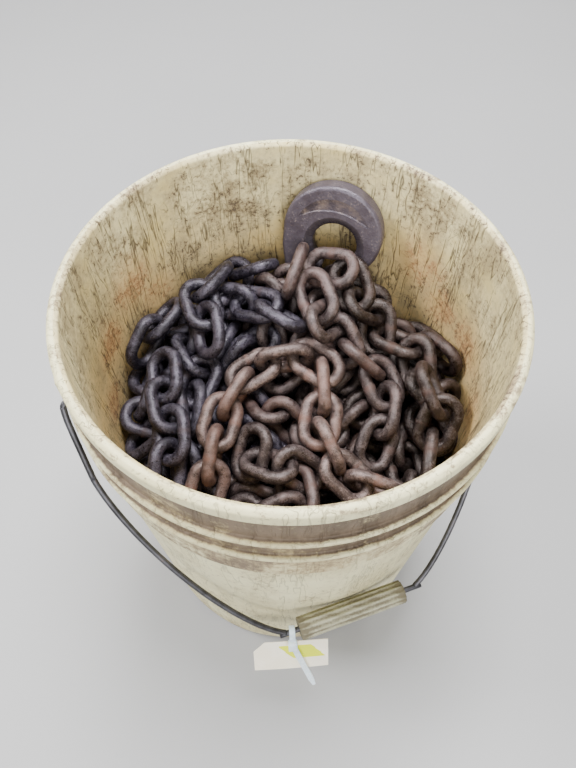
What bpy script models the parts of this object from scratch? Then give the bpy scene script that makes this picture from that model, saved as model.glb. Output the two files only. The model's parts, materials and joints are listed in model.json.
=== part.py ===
"""A heap of iron chain in a plastic pail, with the pail's bail, grip and tag, and a lifting hook.

Metres, +Z up. The origin is the middle of the pail's flat underside, and the front of the pail,
where the bail hangs down, is towards -Y.
"""

import math

import bmesh
import bpy
import numpy as np
from mathutils import Matrix, Vector

MM = 0.001
CLEARANCE = 0.35 * MM  # between pieces that touch

# Pail: a five gallon moulding, with a rim bead and two stacking ridges under it. The shoulder,
# the ridges' undersides and the heap in it are placed down from the top of the rim.
PAIL_HEIGHT = 367.0 * MM
PAIL_BASE_RADIUS = 130.5 * MM
PAIL_SHOULDER_RADIUS = 145.0 * MM
PAIL_SHOULDER_DOWN = 107.0 * MM
PAIL_BAND_STEP = 3.0 * MM
PAIL_WALL = 2.6 * MM
PAIL_FLOOR = 3.2 * MM
PAIL_FOOT_ROUND = 5.0 * MM
RIM_OVERHANG = 3.0 * MM
RIM_BEAD_HEIGHT = 12.0 * MM
RIM_ROUND = 2.5 * MM
RIDGE_OVERHANG = 4.5 * MM
RIDGE_THICKNESS = 4.0 * MM
UPPER_RIDGE_DOWN = 43.0 * MM
LOWER_RIDGE_DOWN = 67.0 * MM
BASE_GROOVE_RADII = (48.0 * MM, 86.0 * MM)
BASE_GROOVE_WIDTH = 5.0 * MM
BASE_GROOVE_DEPTH = 1.0 * MM
PAIL_STEPS = 48
PAIL_SHOULDER_Z = PAIL_HEIGHT - PAIL_SHOULDER_DOWN
UPPER_RIDGE_Z = PAIL_HEIGHT - UPPER_RIDGE_DOWN
LOWER_RIDGE_Z = PAIL_HEIGHT - LOWER_RIDGE_DOWN

# Ears: a round boss between the ridges on each side, with a flat pad above it.
EAR_TURN = math.radians(19.5)  # the left ear is the nearer one
EAR_RADIUS = 8.5 * MM
EAR_STAND_OFF = 1.0 * MM  # past the ridges
EAR_PAD_WIDTH = 30.0 * MM
EAR_PAD_STAND_OFF = 3.5 * MM
EAR_STEPS = 20
EAR_BORE_STEPS = 16

# Bail: a steel wire that is hooked into both ears, with a grip on its middle.
BAIL_WIRE = 4.5 * MM
BAIL_DEPTH = 224.0 * MM
BAIL_IN_BOSS = 9.0 * MM
BAIL_GAP_TO_EAR = 1.5 * MM
BAIL_NECK = 15.0 * MM  # the straight stretch at each ear, before the wire leans in
BAIL_FULLNESS = 1.5  # 1 would be an ellipse from the rim to the grip, and more is flatter
BAIL_ARC_POINTS = 11
BAIL_BEND_STEPS = 3

GRIP_LENGTH = 88.0 * MM
GRIP_RADIUS = 9.2 * MM
GRIP_RIBS = 12
GRIP_RIB_DEPTH = 0.9 * MM
GRIP_BORE_CLEARANCE = 0.4 * MM
SMALL_HOLE_STEPS = 12

# Tie and tag: a nylon strap through a hole in a card.
TIE_FROM_GRIP = 6.0 * MM
TIE_WIDTH = 4.6 * MM
TIE_THICKNESS = 1.4 * MM
TIE_HEAD = (5.6 * MM, 8.0 * MM, 7.0 * MM)
TIE_HEAD_DOWN = 8.0 * MM
TIE_TAIL = 46.0 * MM
TIE_TAIL_LEAN = math.radians(20.0)
TIE_ROUND_STEPS = 8
TAG_WIDTH = 59.0 * MM
TAG_DROP = 29.0 * MM
TAG_THICKNESS = 0.8 * MM
TAG_CORNER_CUT = 9.0 * MM
TAG_HOLE_RADIUS = 3.4 * MM
TAG_HOLE_DOWN = 5.5 * MM
TAG_HOLE_ALONG = 31.0 * MM
TAG_TURN = math.radians(4.0)
TAG_TILT = math.radians(32.0)

# Hook: a forged slip hook that leans back on the pail's wall, with its eye sunk in the heap.
HOOK_BOWL_RADIUS = 40.5 * MM
HOOK_MOUTH_RADIUS = 18.5 * MM
HOOK_MOUTH_DROP = 9.5 * MM
HOOK_MOUTH_SIDE = 2.5 * MM
HOOK_THICKNESS = 16.0 * MM
HOOK_ROUND = 3.2 * MM
HOOK_EYE_RADIUS = 16.0 * MM
HOOK_EYE_HOLE = 8.0 * MM
HOOK_EYE_DROP = 48.0 * MM
HOOK_EYE_SIDE = 20.0 * MM
HOOK_NECK_DROP = 18.0 * MM  # where the bowl's back turns off towards the eye
HOOK_TIP_TURN = math.radians(-38.0)
HOOK_MOUTH_TURN = math.radians(248.0)  # where the mouth's round starts, by the eye
HOOK_MOUTH_PAST_TIP = math.radians(6.0)
HOOK_EYE_TURNS = (math.radians(165.0), math.radians(395.0))
HOOK_BOWL_STEPS = 18
HOOK_SMALL_STEPS = 12
HOOK_TURN = math.radians(16.5)  # about the pail's axis, from the back towards +X
HOOK_LEAN = math.radians(14.0)  # back from upright
HOOK_DOWN = 64.5 * MM  # from the rim's top to the bowl's middle

# Chain: one welded link, repeated.
LINK_WIRE = 10.0 * MM
LINK_INNER_LENGTH = 30.0 * MM
LINK_INNER_WIDTH = 14.0 * MM
LINK_BEND_SEGMENTS = 5
LINK_GAP = 0.15 * MM
LINK_SPACING = 0.86  # share of the inner length between the middles of two linked links

# Heap: its top is a low dome that rises to the back, with a mound before the hook and a lesser
# one by the right wall, each given as (x, y, height, width).
HEAP_DOWN = 107.0 * MM  # from the rim's top to the heap's, on the pail's axis
HEAP_TOP = PAIL_HEIGHT - HEAP_DOWN
HEAP_DOME = 36.0 * MM
HEAP_SLOPE = 0.30
HEAP_MOUNDS = ((28.0 * MM, 100.0 * MM, 42.0 * MM, 36.0 * MM),
               (126.0 * MM, 42.0 * MM, 32.0 * MM, 26.0 * MM))
LAYER_DEPTH = 36.0 * MM  # from the top of the heap down to the hidden links
CORE_STEPS = 60
CORE_RINGS = 12

# The runs of chain in the order in which they are laid, the number of links in each, and those
# whose first link stands on its edge.
RUN_COUNTS = {"left_wall": 4, "right": 8, "left": 7, "front": 6, "back_left": 6, "hook_side": 9, "top": 12}
RUNS_ON_EDGE = ("left_wall", "left", "top")
# The route of each run's middle as (x, y, height over the heap's mid-layer) in millimetres.
ROUTES = {
    "left_wall": ((-108, 52, 0), (-119, 26, 0), (-122, -2, 0), (-114, -28, 0), (-112, -44, 0)),
    "right": ((66, 114, 0), (54, 96, 0), (63, 70, 0), (80, 52, 0), (99, 32, 0), (114, 12, 0), (120, -14, 0),
              (112, -42, 0), (98, -62, 0)),
    "left": ((-88, 102, 2), (-92, 78, 2), (-78, 48, 2), (-78, 18, 2), (-86, -8, 0), (-82, -34, 0),
             (-92, -60, 0), (-98, -74, 0)),
    "front": ((-38, -18, 0), (-24, -42, 0), (0, -50, 0), (14, -72, 0), (-6, -88, 0), (-32, -78, 0),
              (-44, -92, 0)),
    "back_left": ((-20, 126, 0), (-46, 122, 2), (-66, 110, 4), (-58, 88, 4), (-38, 80, 4), (-18, 68, 2),
                  (0, 54, 0)),
    "hook_side": ((50, 104, 4), (24, 106, 4), (12, 92, 6), (26, 76, 6), (38, 56, 4), (56, 36, 2),
                  (74, 20, 2), (79, -6, 2), (74, -32, 2), (52, -42, 0)),
    "top": ((76, -64, 0), (48, -58, 4), (27, -38, 8), (24, -14, 10), (29, 14, 10), (12, 31, 12),
            (-14, 26, 8), (-42, 13, 4), (-58, -16, 4), (-62, -42, 2), (-66, -72, 0)),
}
RUN_LIFT = 38.0 * MM  # how far over its place each run starts, clear of the runs under it
LAY_ROUNDS = 60
SETTLE_ROUNDS = 60
CLEAR_ROUNDS = 500
CLEAR_ENOUGH = 0.02 * MM
LINK_DROP = 0.8 * MM  # how far a link is let down in one round
SETTLE_DROP = 0.24 * MM  # the same for the whole heap at first, once all runs are down
LARGEST_MOVE = 1.5 * MM
LINK_SWING = 18.0 * MM  # how far a link's weight lies from its middle
PUSH_SHARING = 0.6
HOLD_SHARE = 0.02  # how firmly a link is kept over its place on the route
ROUTE_STEP = 0.05  # of the stretch between two of a route's places
ROUTE_END = 4.0  # a run longer than its route goes on by up to this many times the last stretch


# Materials

def material(name, colour, roughness, metallic=0.0):
    made = bpy.data.materials.new(name)
    made.use_nodes = True
    shader = made.node_tree.nodes["Principled BSDF"]
    shader.inputs["Base Color"].default_value = (*colour, 1.0)
    shader.inputs["Roughness"].default_value = roughness
    shader.inputs["Metallic"].default_value = metallic
    made.diffuse_color = (*colour, 1.0)
    return made


# Small helpers

def collection(name):
    made = bpy.data.collections.new(name)
    bpy.context.scene.collection.children.link(made)
    return made


def add_object(name, data, into, finish=None, parent=None):
    made = bpy.data.objects.new(name, data)
    into.objects.link(made)
    if finish:
        data.materials.append(finish)
    if parent:
        made.parent = parent
    return made


def mesh_from(name, fill):
    """A mesh filled by a function that is given an empty bmesh."""
    shape = bmesh.new()
    fill(shape)
    mesh = bpy.data.meshes.new(name)
    shape.to_mesh(mesh)
    shape.free()
    return mesh


def profile_mesh(name, points):
    """An open line of (radius, height) points, for a Screw modifier."""
    mesh = bpy.data.meshes.new(name)
    edges = [(i, i + 1) for i in range(len(points) - 1)]
    mesh.from_pydata([(r, 0.0, z) for r, z in points], edges, [])
    return mesh


def screw(piece, steps):
    turned = piece.modifiers.new("Turn", "SCREW")
    turned.axis = "Z"
    turned.steps = turned.render_steps = steps
    turned.use_merge_vertices = True
    turned.merge_threshold = 0.01 * MM


def boolean(piece, tool, operation):
    cut = piece.modifiers.new(operation.title(), "BOOLEAN")
    cut.operation = operation
    cut.solver = "EXACT"
    cut.object = tool


def as_guide(piece):
    piece.hide_render = True
    piece.display_type = "WIRE"
    return piece


def poly_curve(name, points, depth, resolution, cyclic=False):
    """A round wire along points, with a filled cap at each end when it isn't a loop."""
    curve = bpy.data.curves.new(name, "CURVE")
    curve.dimensions = "3D"
    curve.bevel_depth = depth
    curve.bevel_resolution = resolution
    curve.use_fill_caps = not cyclic
    line = curve.splines.new("POLY")
    line.points.add(len(points) - 1)
    for place, point in zip(line.points, points):
        place.co = (*point, 1.0)
    line.use_cyclic_u = cyclic
    return curve


def flat_curve(name, outlines, thickness):
    """A flat plate: the first outline is its edge and the others are holes."""
    curve = bpy.data.curves.new(name, "CURVE")
    curve.dimensions = "2D"
    curve.fill_mode = "BOTH"
    curve.extrude = thickness / 2
    for outline in outlines:
        line = curve.splines.new("POLY")
        line.points.add(len(outline) - 1)
        for place, (x, y) in zip(line.points, outline):
            place.co = (x, y, 0.0, 1.0)
        line.use_cyclic_u = True
    return curve


def circle(radius, steps, middle=(0.0, 0.0)):
    turns = [2 * math.pi * i / steps for i in range(steps)]
    return [(middle[0] + radius * math.cos(t), middle[1] + radius * math.sin(t)) for t in turns]


def arc(middle, radius, first, last, steps):
    turns = np.linspace(first, last, steps + 1)
    return [(middle[0] + radius * math.cos(t), middle[1] + radius * math.sin(t)) for t in turns]


def curve_to_mesh(source):
    """The curve's evaluated mesh in its place, with its loose caps welded."""
    bpy.context.view_layer.update()
    graph = bpy.context.evaluated_depsgraph_get()
    mesh = bpy.data.meshes.new_from_object(source.evaluated_get(graph))
    shape = bmesh.new()
    shape.from_mesh(mesh)
    bmesh.ops.remove_doubles(shape, verts=shape.verts, dist=0.01 * MM)
    bmesh.ops.recalc_face_normals(shape, faces=shape.faces)
    shape.to_mesh(mesh)
    shape.free()
    made = bpy.data.objects.new(source.name + "_mesh", mesh)
    source.users_collection[0].objects.link(made)
    made.matrix_world = source.matrix_world.copy()
    name = source.name
    bpy.data.objects.remove(source)
    made.name = name
    return made


def keep_place_under(piece, parent):
    """Parents a piece to an empty without moving it."""
    bpy.context.view_layer.update()
    place = piece.matrix_world.copy()
    piece.parent = parent
    piece.matrix_parent_inverse = parent.matrix_world.inverted()
    piece.matrix_world = place


# Pail

def pail_outer_radius(z):
    """The smooth body's outer radius at a height, up to the shoulder's."""
    share = np.minimum(z / PAIL_SHOULDER_Z, 1.0)
    return PAIL_BASE_RADIUS + (PAIL_SHOULDER_RADIUS - PAIL_BASE_RADIUS) * share


def pail_inner_radius(z):
    return pail_outer_radius(z) - PAIL_WALL


def band_radius():
    return PAIL_SHOULDER_RADIUS + PAIL_BAND_STEP


def ridge_radius():
    return band_radius() + RIDGE_OVERHANG


def rim_radius():
    return band_radius() + RIM_OVERHANG


def pail_profile():
    """From the middle of the floor up the inside, over the rim and down to the underside."""
    band = band_radius()
    inside = pail_inner_radius(PAIL_SHOULDER_Z)
    rim = rim_radius() - RIM_ROUND
    points = [(0.0, PAIL_FLOOR)]
    points += [(pail_inner_radius(0.0) - PAIL_FOOT_ROUND, PAIL_FLOOR)]
    points += [(pail_inner_radius(PAIL_FOOT_ROUND), PAIL_FLOOR + PAIL_FOOT_ROUND)]
    points += [(inside, PAIL_SHOULDER_Z - PAIL_BAND_STEP), (inside + RIM_ROUND / 2, PAIL_HEIGHT - RIM_ROUND)]
    points += [(inside + RIM_ROUND * 1.5, PAIL_HEIGHT), (rim, PAIL_HEIGHT)]
    points += [(rim + RIM_ROUND, PAIL_HEIGHT - RIM_ROUND)]
    points += [(rim + RIM_ROUND, PAIL_HEIGHT - RIM_BEAD_HEIGHT)]
    points += [(band, PAIL_HEIGHT - RIM_BEAD_HEIGHT)]
    for ridge in (UPPER_RIDGE_Z, LOWER_RIDGE_Z):
        points += [(band, ridge + RIDGE_THICKNESS), (ridge_radius(), ridge + RIDGE_THICKNESS)]
        points += [(ridge_radius(), ridge), (band, ridge)]
    points += [(band, PAIL_SHOULDER_Z + PAIL_BAND_STEP), (PAIL_SHOULDER_RADIUS, PAIL_SHOULDER_Z)]
    points += [(pail_outer_radius(PAIL_FOOT_ROUND), PAIL_FOOT_ROUND)]
    points += [(PAIL_BASE_RADIUS - PAIL_FOOT_ROUND, 0.0)]
    for groove in reversed(BASE_GROOVE_RADII):
        half = BASE_GROOVE_WIDTH / 2
        points += [(groove + half, 0.0), (groove, BASE_GROOVE_DEPTH), (groove - half, 0.0)]
    return points + [(0.0, 0.0)]


def ear_height():
    """The bosses sit midway between the two ridges."""
    return (UPPER_RIDGE_Z + LOWER_RIDGE_Z + RIDGE_THICKNESS) / 2


def ear_reach():
    """How far the bosses' faces stand from the pail's axis."""
    return ridge_radius() + EAR_STAND_OFF


def ear_bottom():
    """The blind end of each boss's bore, from the pail's axis."""
    return ear_reach() - BAIL_IN_BOSS - CLEARANCE


def cylinder_between(name, start, end, radius, steps, into):
    """A capped cylinder from one place to another."""
    run = Vector(end) - Vector(start)

    def fill(shape):
        bmesh.ops.create_cone(shape, cap_ends=True, segments=steps, radius1=radius, radius2=radius,
                              depth=run.length)

    made = add_object(name, mesh_from(name, fill), into)
    made.rotation_mode = "QUATERNION"
    made.rotation_quaternion = run.to_track_quat("Z", "Y")
    made.location = (Vector(start) + Vector(end)) / 2
    return made


def box_at(name, size, middle, turn, into):
    def fill(shape):
        bmesh.ops.create_cube(shape, size=1.0)
        bmesh.ops.scale(shape, vec=size, verts=shape.verts)

    made = add_object(name, mesh_from(name, fill), into)
    made.location = middle
    made.rotation_euler = (0.0, 0.0, turn)
    return made


def make_pail(parts, tools, plastic):
    pail = add_object("pail", profile_mesh("pail", pail_profile()), parts, plastic)
    screw(pail, PAIL_STEPS)
    along = Vector((math.cos(EAR_TURN), math.sin(EAR_TURN), 0.0))
    height = Vector((0.0, 0.0, ear_height()))
    pad_height = PAIL_HEIGHT - RIM_BEAD_HEIGHT - UPPER_RIDGE_Z - RIDGE_THICKNESS
    pad_z = UPPER_RIDGE_Z + RIDGE_THICKNESS + pad_height / 2
    wall_middle = band_radius() - PAIL_WALL
    pad_face = band_radius() + EAR_PAD_STAND_OFF
    for side, name in ((-1, "left"), (1, "right")):
        boss = cylinder_between(f"{name}_boss", side * along * wall_middle + height,
                                side * along * ear_reach() + height, EAR_RADIUS, EAR_STEPS, tools)
        boolean(pail, as_guide(boss), "UNION")
        pad_size = (pad_face - wall_middle, EAR_PAD_WIDTH, pad_height + PAIL_WALL)
        pad_at = side * along * (pad_face + wall_middle) / 2 + Vector((0.0, 0.0, pad_z))
        pad = box_at(f"{name}_pad", pad_size, pad_at, EAR_TURN, tools)
        boolean(pail, as_guide(pad), "UNION")
        bore = cylinder_between(f"{name}_bore", side * along * ear_bottom() + height,
                                side * along * (ear_reach() + EAR_RADIUS) + height,
                                BAIL_WIRE / 2 + CLEARANCE, EAR_BORE_STEPS, tools)
        boolean(pail, as_guide(bore), "DIFFERENCE")
    return pail


# Bail, with its grip, tie and tag

def bail_half_width():
    return ear_reach() + BAIL_GAP_TO_EAR + BAIL_WIRE / 2


def bail_route():
    """The wire's middle line, x along the ears and y away from them, from end to end."""
    wide = bail_half_width()
    tip = ear_bottom() + CLEARANCE
    bend = wide - ear_reach() - CLEARANCE  # starts just outside the boss
    side = [(tip, 0.0)] + arc((wide - bend, bend), bend, -math.pi / 2, 0.0, BAIL_BEND_STEPS)
    side.append((wide, BAIL_NECK))
    by_rim = rim_radius() + BAIL_WIRE / 2 + 2 * CLEARANCE  # clears the rim when the bail is up
    shoulder = PAIL_HEIGHT - ear_height()
    grip_end = GRIP_LENGTH / 2 + TIE_FROM_GRIP + TIE_WIDTH / 2  # straight as far as the tie
    for i in range(BAIL_ARC_POINTS + 1):
        turn = math.pi / 2 * i / BAIL_ARC_POINTS
        side.append((grip_end + (by_rim - grip_end) * math.cos(turn) ** BAIL_FULLNESS,
                     shoulder + (BAIL_DEPTH - shoulder) * math.sin(turn) ** BAIL_FULLNESS))
    return [(-x, y) for x, y in side] + [(x, y) for x, y in reversed(side)]


def bail_tilt():
    """How far under level the bail hangs, with its grip resting on the pail's sloping wall."""
    slope = (PAIL_SHOULDER_RADIUS - PAIL_BASE_RADIUS) / PAIL_SHOULDER_Z
    stand_off = PAIL_BASE_RADIUS + slope * ear_height() + GRIP_RADIUS + 2 * CLEARANCE
    return math.atan(slope) + math.acos(stand_off / (BAIL_DEPTH * math.hypot(1.0, slope)))


def bail_pivot(parts):
    """An empty on the ears' axis. Its X runs along the axis and its Y runs down the hanging bail."""
    pivot = bpy.data.objects.new("bail_pivot", None)
    parts.objects.link(pivot)
    tilt = bail_tilt()
    along = Vector((math.cos(EAR_TURN), math.sin(EAR_TURN), 0.0))
    outward = Vector((math.sin(EAR_TURN), -math.cos(EAR_TURN), 0.0))
    down = math.cos(tilt) * outward - math.sin(tilt) * Vector((0.0, 0.0, 1.0))
    turned = Matrix((along, down, along.cross(down))).transposed()
    pivot.matrix_world = Matrix.Translation((0.0, 0.0, ear_height())) @ turned.to_4x4()
    return pivot


def make_grip(parts, pivot, finish):
    count = GRIP_RIBS * 2
    edge = []
    for i in range(count):
        radius = GRIP_RADIUS - (GRIP_RIB_DEPTH if i % 2 else 0.0)
        turn = 2 * math.pi * i / count
        edge.append((radius * math.cos(turn), radius * math.sin(turn)))
    bore = circle(BAIL_WIRE / 2 + GRIP_BORE_CLEARANCE, SMALL_HOLE_STEPS)
    grip = add_object("grip", flat_curve("grip", (edge, bore), GRIP_LENGTH), parts, finish, pivot)
    grip.location = (0.0, BAIL_DEPTH, 0.0)
    grip.rotation_euler = (0.0, math.pi / 2, 0.0)
    keep_place_under(curve_to_mesh(grip), pivot)


def tag_frame(pivot):
    """Where the tag hangs: the wire's middle at the tie, and the tag's along, down and out."""
    at_wire = Vector((-GRIP_LENGTH / 2 - TIE_FROM_GRIP, BAIL_DEPTH, 0.0))
    place = pivot.matrix_world @ at_wire
    along = Vector((math.cos(TAG_TURN), math.sin(TAG_TURN), 0.0))
    outward = Vector((math.sin(TAG_TURN), -math.cos(TAG_TURN), 0.0))
    down = math.sin(TAG_TILT) * outward - math.cos(TAG_TILT) * Vector((0.0, 0.0, 1.0))
    return place, along, down


def frame_matrix(place, x_axis, y_axis):
    z_axis = x_axis.cross(y_axis)
    return Matrix.Translation(place) @ Matrix((x_axis, y_axis, z_axis)).transposed().to_4x4()


def tag_top():
    """How far under the wire's middle the tag's top edge hangs, clear of the grip."""
    return GRIP_RADIUS + 2 * CLEARANCE


def make_tag(parts, pivot, card):
    left, right = -TAG_HOLE_ALONG, TAG_WIDTH - TAG_HOLE_ALONG
    top = tag_top()
    foot = top + TAG_DROP
    cut = TAG_CORNER_CUT
    edge = [(left + cut, top), (right, top), (right, foot), (left, foot), (left, top + cut)]
    hole = circle(TAG_HOLE_RADIUS, SMALL_HOLE_STEPS, (0.0, top + TAG_HOLE_DOWN))
    tag = add_object("tag", flat_curve("tag", (edge, hole), TAG_THICKNESS), parts, card)
    place, along, down = tag_frame(pivot)
    tag.matrix_world = frame_matrix(place, along, down)
    keep_place_under(curve_to_mesh(tag), pivot)


def rounded_loop(width, first, last):
    """A long loop about the Y axis: two half rounds joined by straight runs."""
    radius = width / 2
    far_end = arc((0.0, last - radius), radius, 0.0, math.pi, TIE_ROUND_STEPS)
    return far_end + arc((0.0, first + radius), radius, math.pi, 2 * math.pi, TIE_ROUND_STEPS)


def make_tie(parts, pivot, tools, nylon):
    """The strap's loop goes round the wire and through the tag's hole, and its head is below."""
    inner_width = BAIL_WIRE + 2 * CLEARANCE + TIE_WIDTH * math.tan(abs(EAR_TURN - TAG_TURN))
    first = -inner_width / 2
    last = tag_top() + TAG_HOLE_DOWN + CLEARANCE
    inside = rounded_loop(inner_width, first, last)
    outside = rounded_loop(inner_width + 2 * TIE_THICKNESS, first - TIE_THICKNESS, last + TIE_THICKNESS)
    tie = add_object("cable_tie", flat_curve("cable_tie", (outside, inside), TIE_WIDTH), parts, nylon)
    place, along, down = tag_frame(pivot)
    across = down.cross(along)
    tie.matrix_world = frame_matrix(place, across, down)
    tie = curve_to_mesh(tie)
    front = inner_width / 2 + TIE_THICKNESS / 4
    head_place = tie.matrix_world @ Matrix.Translation((front + TIE_HEAD[0] / 2, TIE_HEAD_DOWN, 0.0))
    lean = Matrix.Rotation(TIE_TAIL_LEAN, 4, "X") @ Matrix.Translation((0.0, TIE_TAIL / 2, 0.0))
    head = box_at("tie_head", TIE_HEAD, (0.0, 0.0, 0.0), 0.0, tools)
    head.matrix_world = head_place
    tail = box_at("tie_tail", (TIE_THICKNESS, TIE_TAIL, TIE_WIDTH), (0.0, 0.0, 0.0), 0.0, tools)
    tail.matrix_world = head_place @ lean
    boolean(tie, as_guide(head), "UNION")
    boolean(tie, as_guide(tail), "UNION")
    keep_place_under(tie, pivot)


def make_bail(parts, tools, steel, grip_plastic, nylon, card):
    pivot = bail_pivot(parts)
    bpy.context.view_layer.update()
    route = [(x, y, 0.0) for x, y in bail_route()]
    add_object("bail", poly_curve("bail", route, BAIL_WIRE / 2, 2), parts, steel, pivot)
    make_grip(parts, pivot, grip_plastic)
    make_tag(parts, pivot, card)
    make_tie(parts, pivot, tools, nylon)


# Heap

def heap_top(x, y):
    """The height of the heap's top over a place in the pail."""
    wall = pail_inner_radius(HEAP_TOP)
    dome = HEAP_DOME * np.minimum((x * x + y * y) / wall**2, 1.0)
    top = HEAP_TOP - dome + HEAP_SLOPE * y
    for mound_x, mound_y, height, width in HEAP_MOUNDS:
        away = (x - mound_x) ** 2 + (y - mound_y) ** 2
        top = top + height * np.exp(-away / (2 * width**2))
    return top


def core_top(x, y):
    return heap_top(x, y) - LAYER_DEPTH


def make_core(parts, iron):
    """The hidden links as one plain block, from the pail's floor to under the top layer."""
    floor = PAIL_FLOOR + CLEARANCE
    foot = pail_inner_radius(0.0) - PAIL_FOOT_ROUND - CLEARANCE
    knee = PAIL_FLOOR + PAIL_FOOT_ROUND + CLEARANCE
    edge_z = HEAP_TOP - HEAP_DOME - LAYER_DEPTH
    gap = 2 * CLEARANCE

    def fill(shape):
        wall = pail_inner_radius(edge_z) - gap
        radii = [wall * i / CORE_RINGS for i in range(CORE_RINGS + 1)]
        line = [(r, edge_z) for r in radii]
        line += [(pail_inner_radius(edge_z / 2) - gap, edge_z / 2)]
        line += [(pail_inner_radius(knee) - gap, knee), (foot, floor), (0.0, floor)]
        verts = [shape.verts.new((r, 0.0, z)) for r, z in line]
        edges = [shape.edges.new(pair) for pair in zip(verts[:-1], verts[1:])]
        bmesh.ops.spin(shape, geom=verts + edges, axis=(0, 0, 1), cent=(0, 0, 0), steps=CORE_STEPS,
                       angle=2 * math.pi)
        bmesh.ops.remove_doubles(shape, verts=shape.verts, dist=0.01 * MM)
        for vert in shape.verts:
            if vert.co.z > edge_z - gap:
                vert.co.z = core_top(vert.co.x, vert.co.y) - gap
                most = pail_inner_radius(vert.co.z) - gap
                vert.co.xy *= min(1.0, most / max(vert.co.xy.length, gap))
        bmesh.ops.recalc_face_normals(shape, faces=shape.faces)

    return add_object("heap_core", mesh_from("heap_core", fill), parts, iron)


# Hook

def hook_outline():
    """The hook seen flat, with the bowl's middle at the origin and the eye below it."""
    eye = (-HOOK_EYE_SIDE, -HOOK_EYE_DROP)
    outer = arc((0.0, 0.0), HOOK_BOWL_RADIUS, HOOK_TIP_TURN, math.pi, HOOK_BOWL_STEPS)
    neck = (-HOOK_BOWL_RADIUS, -HOOK_NECK_DROP)
    eye_round = arc(eye, HOOK_EYE_RADIUS, *HOOK_EYE_TURNS, HOOK_SMALL_STEPS)
    mouth = (HOOK_MOUTH_SIDE, -HOOK_MOUTH_DROP)
    inner_tip = HOOK_TIP_TURN - HOOK_MOUTH_PAST_TIP
    inner = arc(mouth, HOOK_MOUTH_RADIUS, HOOK_MOUTH_TURN, inner_tip, HOOK_SMALL_STEPS)
    across = Vector(outer[0]) - Vector(inner[-1])
    toward = math.atan2(across.y, across.x)
    tip_middle = (Vector(outer[0]) + Vector(inner[-1])) / 2
    nose = arc(tip_middle, across.length / 2, toward + math.pi, toward + 2 * math.pi, HOOK_SMALL_STEPS // 2)
    return outer + [neck] + eye_round + inner + nose[1:-1]


def hook_seat():
    """The hook's middle, its across and up directions, and the way its back faces."""
    outward = Vector((math.sin(HOOK_TURN), math.cos(HOOK_TURN), 0.0))
    across = Vector((math.cos(HOOK_TURN), -math.sin(HOOK_TURN), 0.0))
    up = math.sin(HOOK_LEAN) * outward + math.cos(HOOK_LEAN) * Vector((0.0, 0.0, 1.0))
    back = up.cross(across)
    wall = pail_inner_radius(HEAP_TOP) - 3 * CLEARANCE
    reach = math.inf
    for radius, depth in ((HOOK_BOWL_RADIUS - HOOK_ROUND, HOOK_THICKNESS / 2),
                          (HOOK_BOWL_RADIUS, HOOK_THICKNESS / 2 - HOOK_ROUND)):
        for x, y in arc((0.0, 0.0), radius, 0.0, math.pi, HOOK_BOWL_STEPS):
            reach = min(reach, math.sqrt(wall**2 - x**2) - (up * y + back * depth).dot(outward))
    middle = outward * reach
    middle.z = PAIL_HEIGHT - HOOK_DOWN
    return middle, across, up, back


def make_hook_pocket(core, tools):
    """The room that the hook's eye takes up among the hidden links."""
    middle, across, up, _ = hook_seat()
    height = HOOK_EYE_DROP + HOOK_EYE_RADIUS + CLEARANCE
    width = 2 * (HOOK_EYE_RADIUS + CLEARANCE)
    size = (width, height, HOOK_THICKNESS + 2 * CLEARANCE)
    pocket = box_at("hook_pocket", size, (0.0, 0.0, 0.0), 0.0, tools)
    pocket.matrix_world = frame_matrix(middle - across * HOOK_EYE_SIDE - up * height / 2, across, up)
    boolean(core, as_guide(pocket), "DIFFERENCE")


def make_hook(parts, iron):
    eye_hole = circle(HOOK_EYE_HOLE, HOOK_SMALL_STEPS, (-HOOK_EYE_SIDE, -HOOK_EYE_DROP))
    plate = flat_curve("hook", (hook_outline(), eye_hole), HOOK_THICKNESS)
    hook = add_object("hook", plate, parts, iron)
    middle, across, up, _ = hook_seat()
    hook.matrix_world = frame_matrix(middle, across, up)
    hook = curve_to_mesh(hook)
    flat = hook.modifiers.new("Flat faces", "DECIMATE")
    flat.decimate_type = "DISSOLVE"
    rounded = hook.modifiers.new("Forged edge", "BEVEL")
    rounded.width = HOOK_ROUND
    rounded.segments = 2
    rounded.use_clamp_overlap = False
    rounded.angle_limit = math.radians(50)


# Chain

def link_centreline():
    """The middle line of a link's wire, long way along X, in its own flat plane."""
    bend = (LINK_INNER_WIDTH + LINK_WIRE) / 2
    straight = (LINK_INNER_LENGTH + LINK_WIRE) / 2 - bend
    right = arc((straight, 0.0), bend, -math.pi / 2, math.pi / 2, LINK_BEND_SEGMENTS)
    left = arc((-straight, 0.0), bend, math.pi / 2, 3 * math.pi / 2, LINK_BEND_SEGMENTS)
    return np.array([(x, y, 0.0) for x, y in right + left])


def smooth_route(points, spacing, count):
    """Places at equal spacing along a smooth curve through the points, carried on past its end."""
    points = np.array(points, float)
    ends = np.vstack([2 * points[0] - points[1], points, 2 * points[-1] - points[-2]])
    dense = []
    for a, b, c, d in zip(ends[:-3], ends[1:-2], ends[2:-1], ends[3:]):
        for t in np.arange(0.0, 1.0, ROUTE_STEP):
            dense.append(0.5 * (2 * b + (c - a) * t + (2 * a - 5 * b + 4 * c - d) * t**2
                                + (3 * b - a - 3 * c + d) * t**3))
    dense.append(points[-1])
    dense.append(points[-1] + (points[-1] - points[-2]) * ROUTE_END)
    dense = np.array(dense)
    length = np.concatenate([[0.0], np.cumsum(np.linalg.norm(np.diff(dense, axis=0), axis=1))])
    wanted = spacing * (np.arange(count) + 0.5)
    return np.stack([np.interp(wanted, length, dense[:, k]) for k in range(3)], axis=1)


def unit(v):
    return v / np.linalg.norm(v, axis=-1, keepdims=True)


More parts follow.
